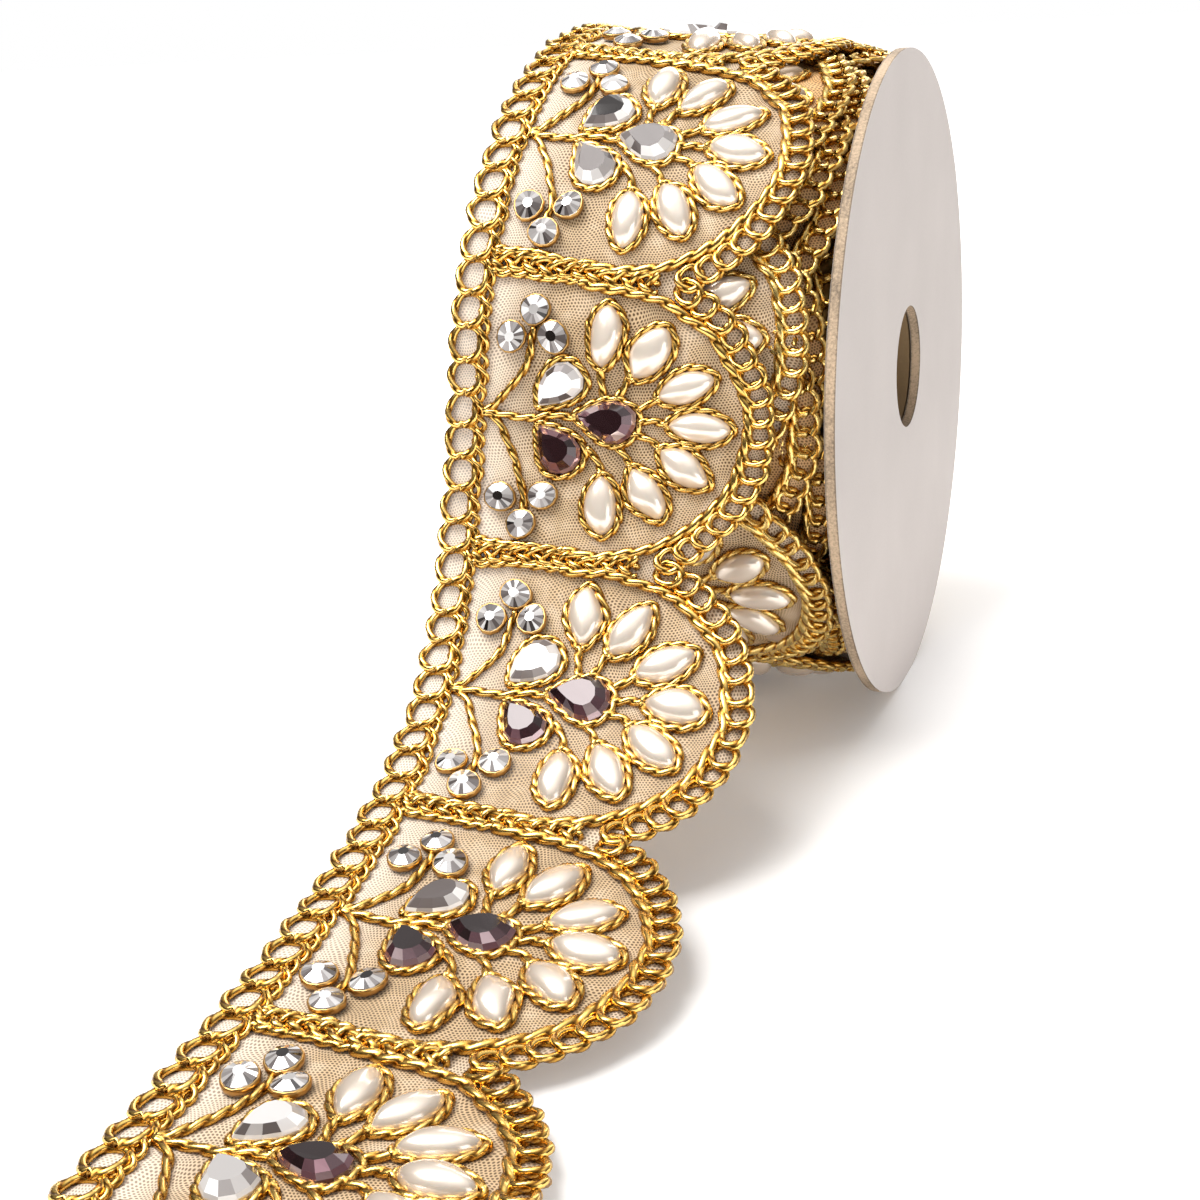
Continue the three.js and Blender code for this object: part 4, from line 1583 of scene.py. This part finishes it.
            # Some repeats' tables get a darker painted reflection.
            darker = self.pattern.dimmed_table_reflections.get(repeat, 0.0) if kind is Stone.CLEAR else 0.0
            tables += [darker] * len(places)
        bpy.data.objects.remove(model)
        joined = Shape.join(laid)
        rng = np.random.default_rng(SEED + len(kind.value))
        # The painted reflections vary from copy to copy, and round stones' tables are dark or bright at
        # random.
        for name, tones in shape.tones.items():
            varied = np.tile(tones, (len(tables), 1)) + rng.uniform(-0.12, 0.12, (len(tables), len(tones)))
            if kind is Stone.ROUND:
                varied[:, 1:-1] = rng.permuted(varied[:, 1:-1], axis=1)
                varied[:, -1] = rng.choice((0.1, 0.7, 1.0, 1.0), len(tables))
            varied[:, -1] -= tables
            joined.tones[name] = np.clip(varied, 0, 1).ravel()
        return joined

    def _stood(self, places: list[Gem], model: Object, shape: Shape, material: Material) -> Shape:
        """One repeat's copies of a gem, flat."""
        source = bpy.data.meshes.new("places")
        source.from_pydata([(g.u, g.v, self.gem_base) for g in places], [], [])
        turns = [math.radians(g.turn) for g in places]
        source.attributes.new("turn", "FLOAT", "POINT").data.foreach_set("value", turns)
        sizes = [g.length / places[0].length for g in places]
        source.attributes.new("size", "FLOAT", "POINT").data.foreach_set("value", sizes)
        return self.workshop.run(
            self.workshop.setting, source, {"Gem": model, "Finish": material}, tuple(shape.marks)
        )

    def packed(self) -> Object:
        """The deeper turns as one body, hollow for the core."""
        w = self.winding
        x, deep = np.array(self.packed_depth).T
        rows = []
        for angle in np.linspace(w.leave_angle - math.tau, w.leave_angle, 145):
            top = w.round(angle, x, w.radius_at(angle, x) - w.turn_pitch - deep)
            rows.append(np.vstack([top, w.round(angle, x, np.full_like(x, self.bore))[::-1]]))
        n, m = len(rows), len(rows[0])
        points = w.to_part(np.vstack(rows))
        faces = []
        for i in range(n - 1):
            for j in range(m):
                k = (j + 1) % m
                faces.append((i * m + j, (i + 1) * m + j, (i + 1) * m + k, i * m + k))
        faces.append(tuple(range(m)))
        faces.append(tuple(range((n - 1) * m, n * m))[::-1])
        shape = Shape.of(list(points), faces)
        piece = self._report(shape.make("packed_turns", self.finishes.packed, False))
        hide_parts("wound_turns")
        return piece

    def build(self) -> None:
        """Builds every piece of the trim."""
        self.packed()
        cloth = self.net("outer_net", self.outer, "lace", self.finishes.net)
        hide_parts("trim")
        for part in (Part.HEADER, Part.BORDER, Part.BAR, Part.MOTIF):
            self.cords(f"outer_{part.value}_cord", part, self.outer, Detail.FINE)
            self.cords(f"back_{part.value}_cord", part, self.back, Detail.MEDIUM)
            self.cords(f"under_{part.value}_cord", part, self.under, Detail.COARSE)
        for number, turn in enumerate(self.deeper, 3):
            self.cords(f"turn_{number}_border_cord", Part.BORDER, turn, Detail.COARSE)
        self.cords("turn_edges_cord", Part.EDGE, range(-63, self.under[0]), Detail.ROUGH)
        self.net("back_net", self.back, "wound_lace", self.finishes.net)
        self.net("under_net", self.under, "wound_lace", self.finishes.shaded_net)
        for number, turn in enumerate(self.deeper[:2], 3):
            self.net(f"turn_{number}_net", turn, "wound_lace", self.finishes.shaded_net)
        outermost = range(self.back[0], self.outer[-1] + 1)
        for kind in (Stone.PEARL, Stone.CLEAR, Stone.PLUM, Stone.ROUND):
            slot = SLOTS[kind]
            material = self.finishes.stones[kind]
            piece = self.gems(f"outer_{kind.value}s", kind, outermost, slot, material)
            # Under pearls get the copy with painted shade.
            dim = self.finishes.shaded_pearl if kind is Stone.PEARL else material
            self.gems(f"under_{kind.value}s", kind, self.under, slot, dim)
            names = [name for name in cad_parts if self._stands_for(name, kind)]
            if names:
                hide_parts(*names)
        self.cups("outer_cups", outermost)
        self.cups("under_cups", self.under)

    def _stands_for(self, node: str, kind: Stone) -> bool:
        """Whether a CAD node is a gem of this kind."""
        if kind is Stone.PEARL:
            return node.startswith("pearl_")
        if not node.startswith("drop_"):
            return False
        repeat, place = (int(part) for part in node.split("_")[1:])
        drops = [i for i, gem in enumerate(self.pattern.gems) if gem.kind in (Stone.CLEAR, Stone.PLUM)]
        return self.pattern.kind_at(drops[place - 1], repeat - 1) is kind


@dataclass
class Spool:
    """The card flange and the core's end, which keep their CAD shapes."""

    finishes: Finishes

    def dress(self) -> None:
        """Gives the flange and the core their finishes."""
        for name, material in (("flange", self.finishes.card), ("core", self.finishes.core)):
            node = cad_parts[name]
            if not node.material_slots:
                node.data.materials.append(material)
            for slot in node.material_slots:
                slot.material = material
            log.info("%s dressed", name)


@dataclass
class Studio:
    """Camera, lights and the pale surface."""

    SKY = (
        (0.0, (0.03, 0.025, 0.02)),
        (0.3, (0.06, 0.055, 0.05)),
        (0.6, (0.24, 0.23, 0.22)),
        (0.85, WHITE),
        (1.0, (2.2, 2.2, 2.2)),
    )
    winding: Winding
    lens: float = 53.156
    sensor: float = 36.0
    at: tuple[float, float, float] = (57.13, -290.63, 109.01)
    middle: tuple[float, float, float] = (-25.0, -20.0, 50.0)
    pitch: float = 17.647
    yaw: float = 21.47
    roll: float = -2.954
    floor_size: float = 60.0

    def _camera(self) -> None:
        """The photograph's camera."""
        pitch, yaw, roll = (math.radians(a) for a in (self.pitch, self.yaw, self.roll))
        level = math.cos(pitch)
        forward = Vector((-math.sin(yaw) * level, math.cos(yaw) * level, -math.sin(pitch)))
        side = Vector((math.cos(yaw), math.sin(yaw), 0.0))
        above = side.cross(forward)
        right = math.cos(roll) * side + math.sin(roll) * above
        up = math.cos(roll) * above - math.sin(roll) * side
        data = bpy.data.cameras.new("camera")
        data.sensor_width = self.sensor
        data.lens = self.lens
        data.clip_start = 0.01
        camera = bpy.data.objects.new("camera", data)
        turn = Matrix((right, up, -forward)).transposed().to_4x4()
        place = Vector(self.winding.to_part(np.array([self.at]))[0])
        camera.matrix_world = Matrix.Translation(place) @ turn
        bpy.context.scene.collection.objects.link(camera)
        bpy.context.scene.camera = camera

    def _area(self, name: str, at: Vector, size: float, power: float, warm: float = 0.0) -> None:
        """A square area light that faces the roll.

        Args:
            name: its name.
            at: its place in metres from the roll's middle.
            size: its side.
            power: its power.
            warm: more for a warmer light.
        """
        data = bpy.data.lights.new(name, "AREA")
        data.shape = "SQUARE"
        data.size = size
        data.energy = power
        data.color = (1.0, 1.0 - 0.1 * warm, 1.0 - 0.25 * warm)
        light = bpy.data.objects.new(name, data)
        target = Vector(self.winding.to_part(np.array([self.middle]))[0])
        light.location = target + at
        light.rotation_euler = (-at).to_track_quat("-Z", "Y").to_euler()
        bpy.context.scene.collection.objects.link(light)

    def _world(self) -> None:
        """White to the camera, darker towards the surface in the light that falls on the roll."""
        world = bpy.data.worlds.new("studio")
        bpy.context.scene.world = world
        world.use_nodes = True
        craft = Craft(world.node_tree)
        path = craft.add("ShaderNodeLightPath").outputs
        way = craft.split(craft.place("Generated"))
        by_height = craft.ramp(way["Z"], self.SKY)
        mirrored = craft.blend(craft.mapped(way["Y"], 0.3, 0.9, end=0.42), by_height, WHITE)
        lit = craft.blend(path["Is Glossy Ray"], (0.455, 0.445, 0.44), mirrored)
        shown = craft.blend(path["Is Camera Ray"], lit, WHITE)
        craft.feed(world.node_tree.nodes["Background"], {"Color": shown, "Strength": 1.0})

    def _floor(self) -> None:
        """A wide pale surface with painted light: it glows, more the further it is from the roll and to its
        right.
        """
        half = self.floor_size / 2
        corners = [(-half, -half, 0), (half, -half, 0), (half, half, 0), (-half, half, 0)]
        material, craft, shader = finish("surface")
        place = craft.place()
        reach = craft.vector("LENGTH", place).node.outputs["Value"]
        # Its emission is painted light, lifting the surface's shade and lighting the flange's low side.
        painted_glow = craft.mapped(reach, 0.05, 0.28, 0.12, 0.75)
        painted_glow_beside = craft.mapped(craft.split(place)["X"], 0.014, 0.055, end=0.5, smooth=True)
        craft.feed(shader, {
            "Base Color": (0.88, 0.87, 0.86),
            "Emission Color": WHITE,
            "Emission Strength": craft.math("MAXIMUM", painted_glow, painted_glow_beside),
            "Roughness": 0.9,
            "Specular IOR Level": 0.1,
        })
        Shape.of(corners, [(0, 1, 2, 3)]).make("surface", material, False)

    def build(self) -> None:
        """Sets up the studio."""
        self._camera()
        self._world()
        self._floor()
        self._area("key", Vector((-0.33, -0.27, 0.85)), 0.65, 11.5, warm=0.1)
        self._area("fill", Vector((0.8, -0.45, 0.14)), 0.4, 1.2)
        self._area("rim", Vector((-0.05, 0.8, 0.4)), 0.7, 4.0)
        bpy.context.scene.view_settings.view_transform = "Standard"
        log.info("studio ready")


def main() -> None:
    """Builds the roll and its studio."""
    logging.basicConfig(level=logging.INFO, format="%(name)s: %(message)s")
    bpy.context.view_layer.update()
    winding = Winding()
    finishes = Finishes(winding)
    Lace(winding, finishes).build()
    Spool(finishes).dress()
    Studio(winding).build()


if __name__ == "__main__":
    main()
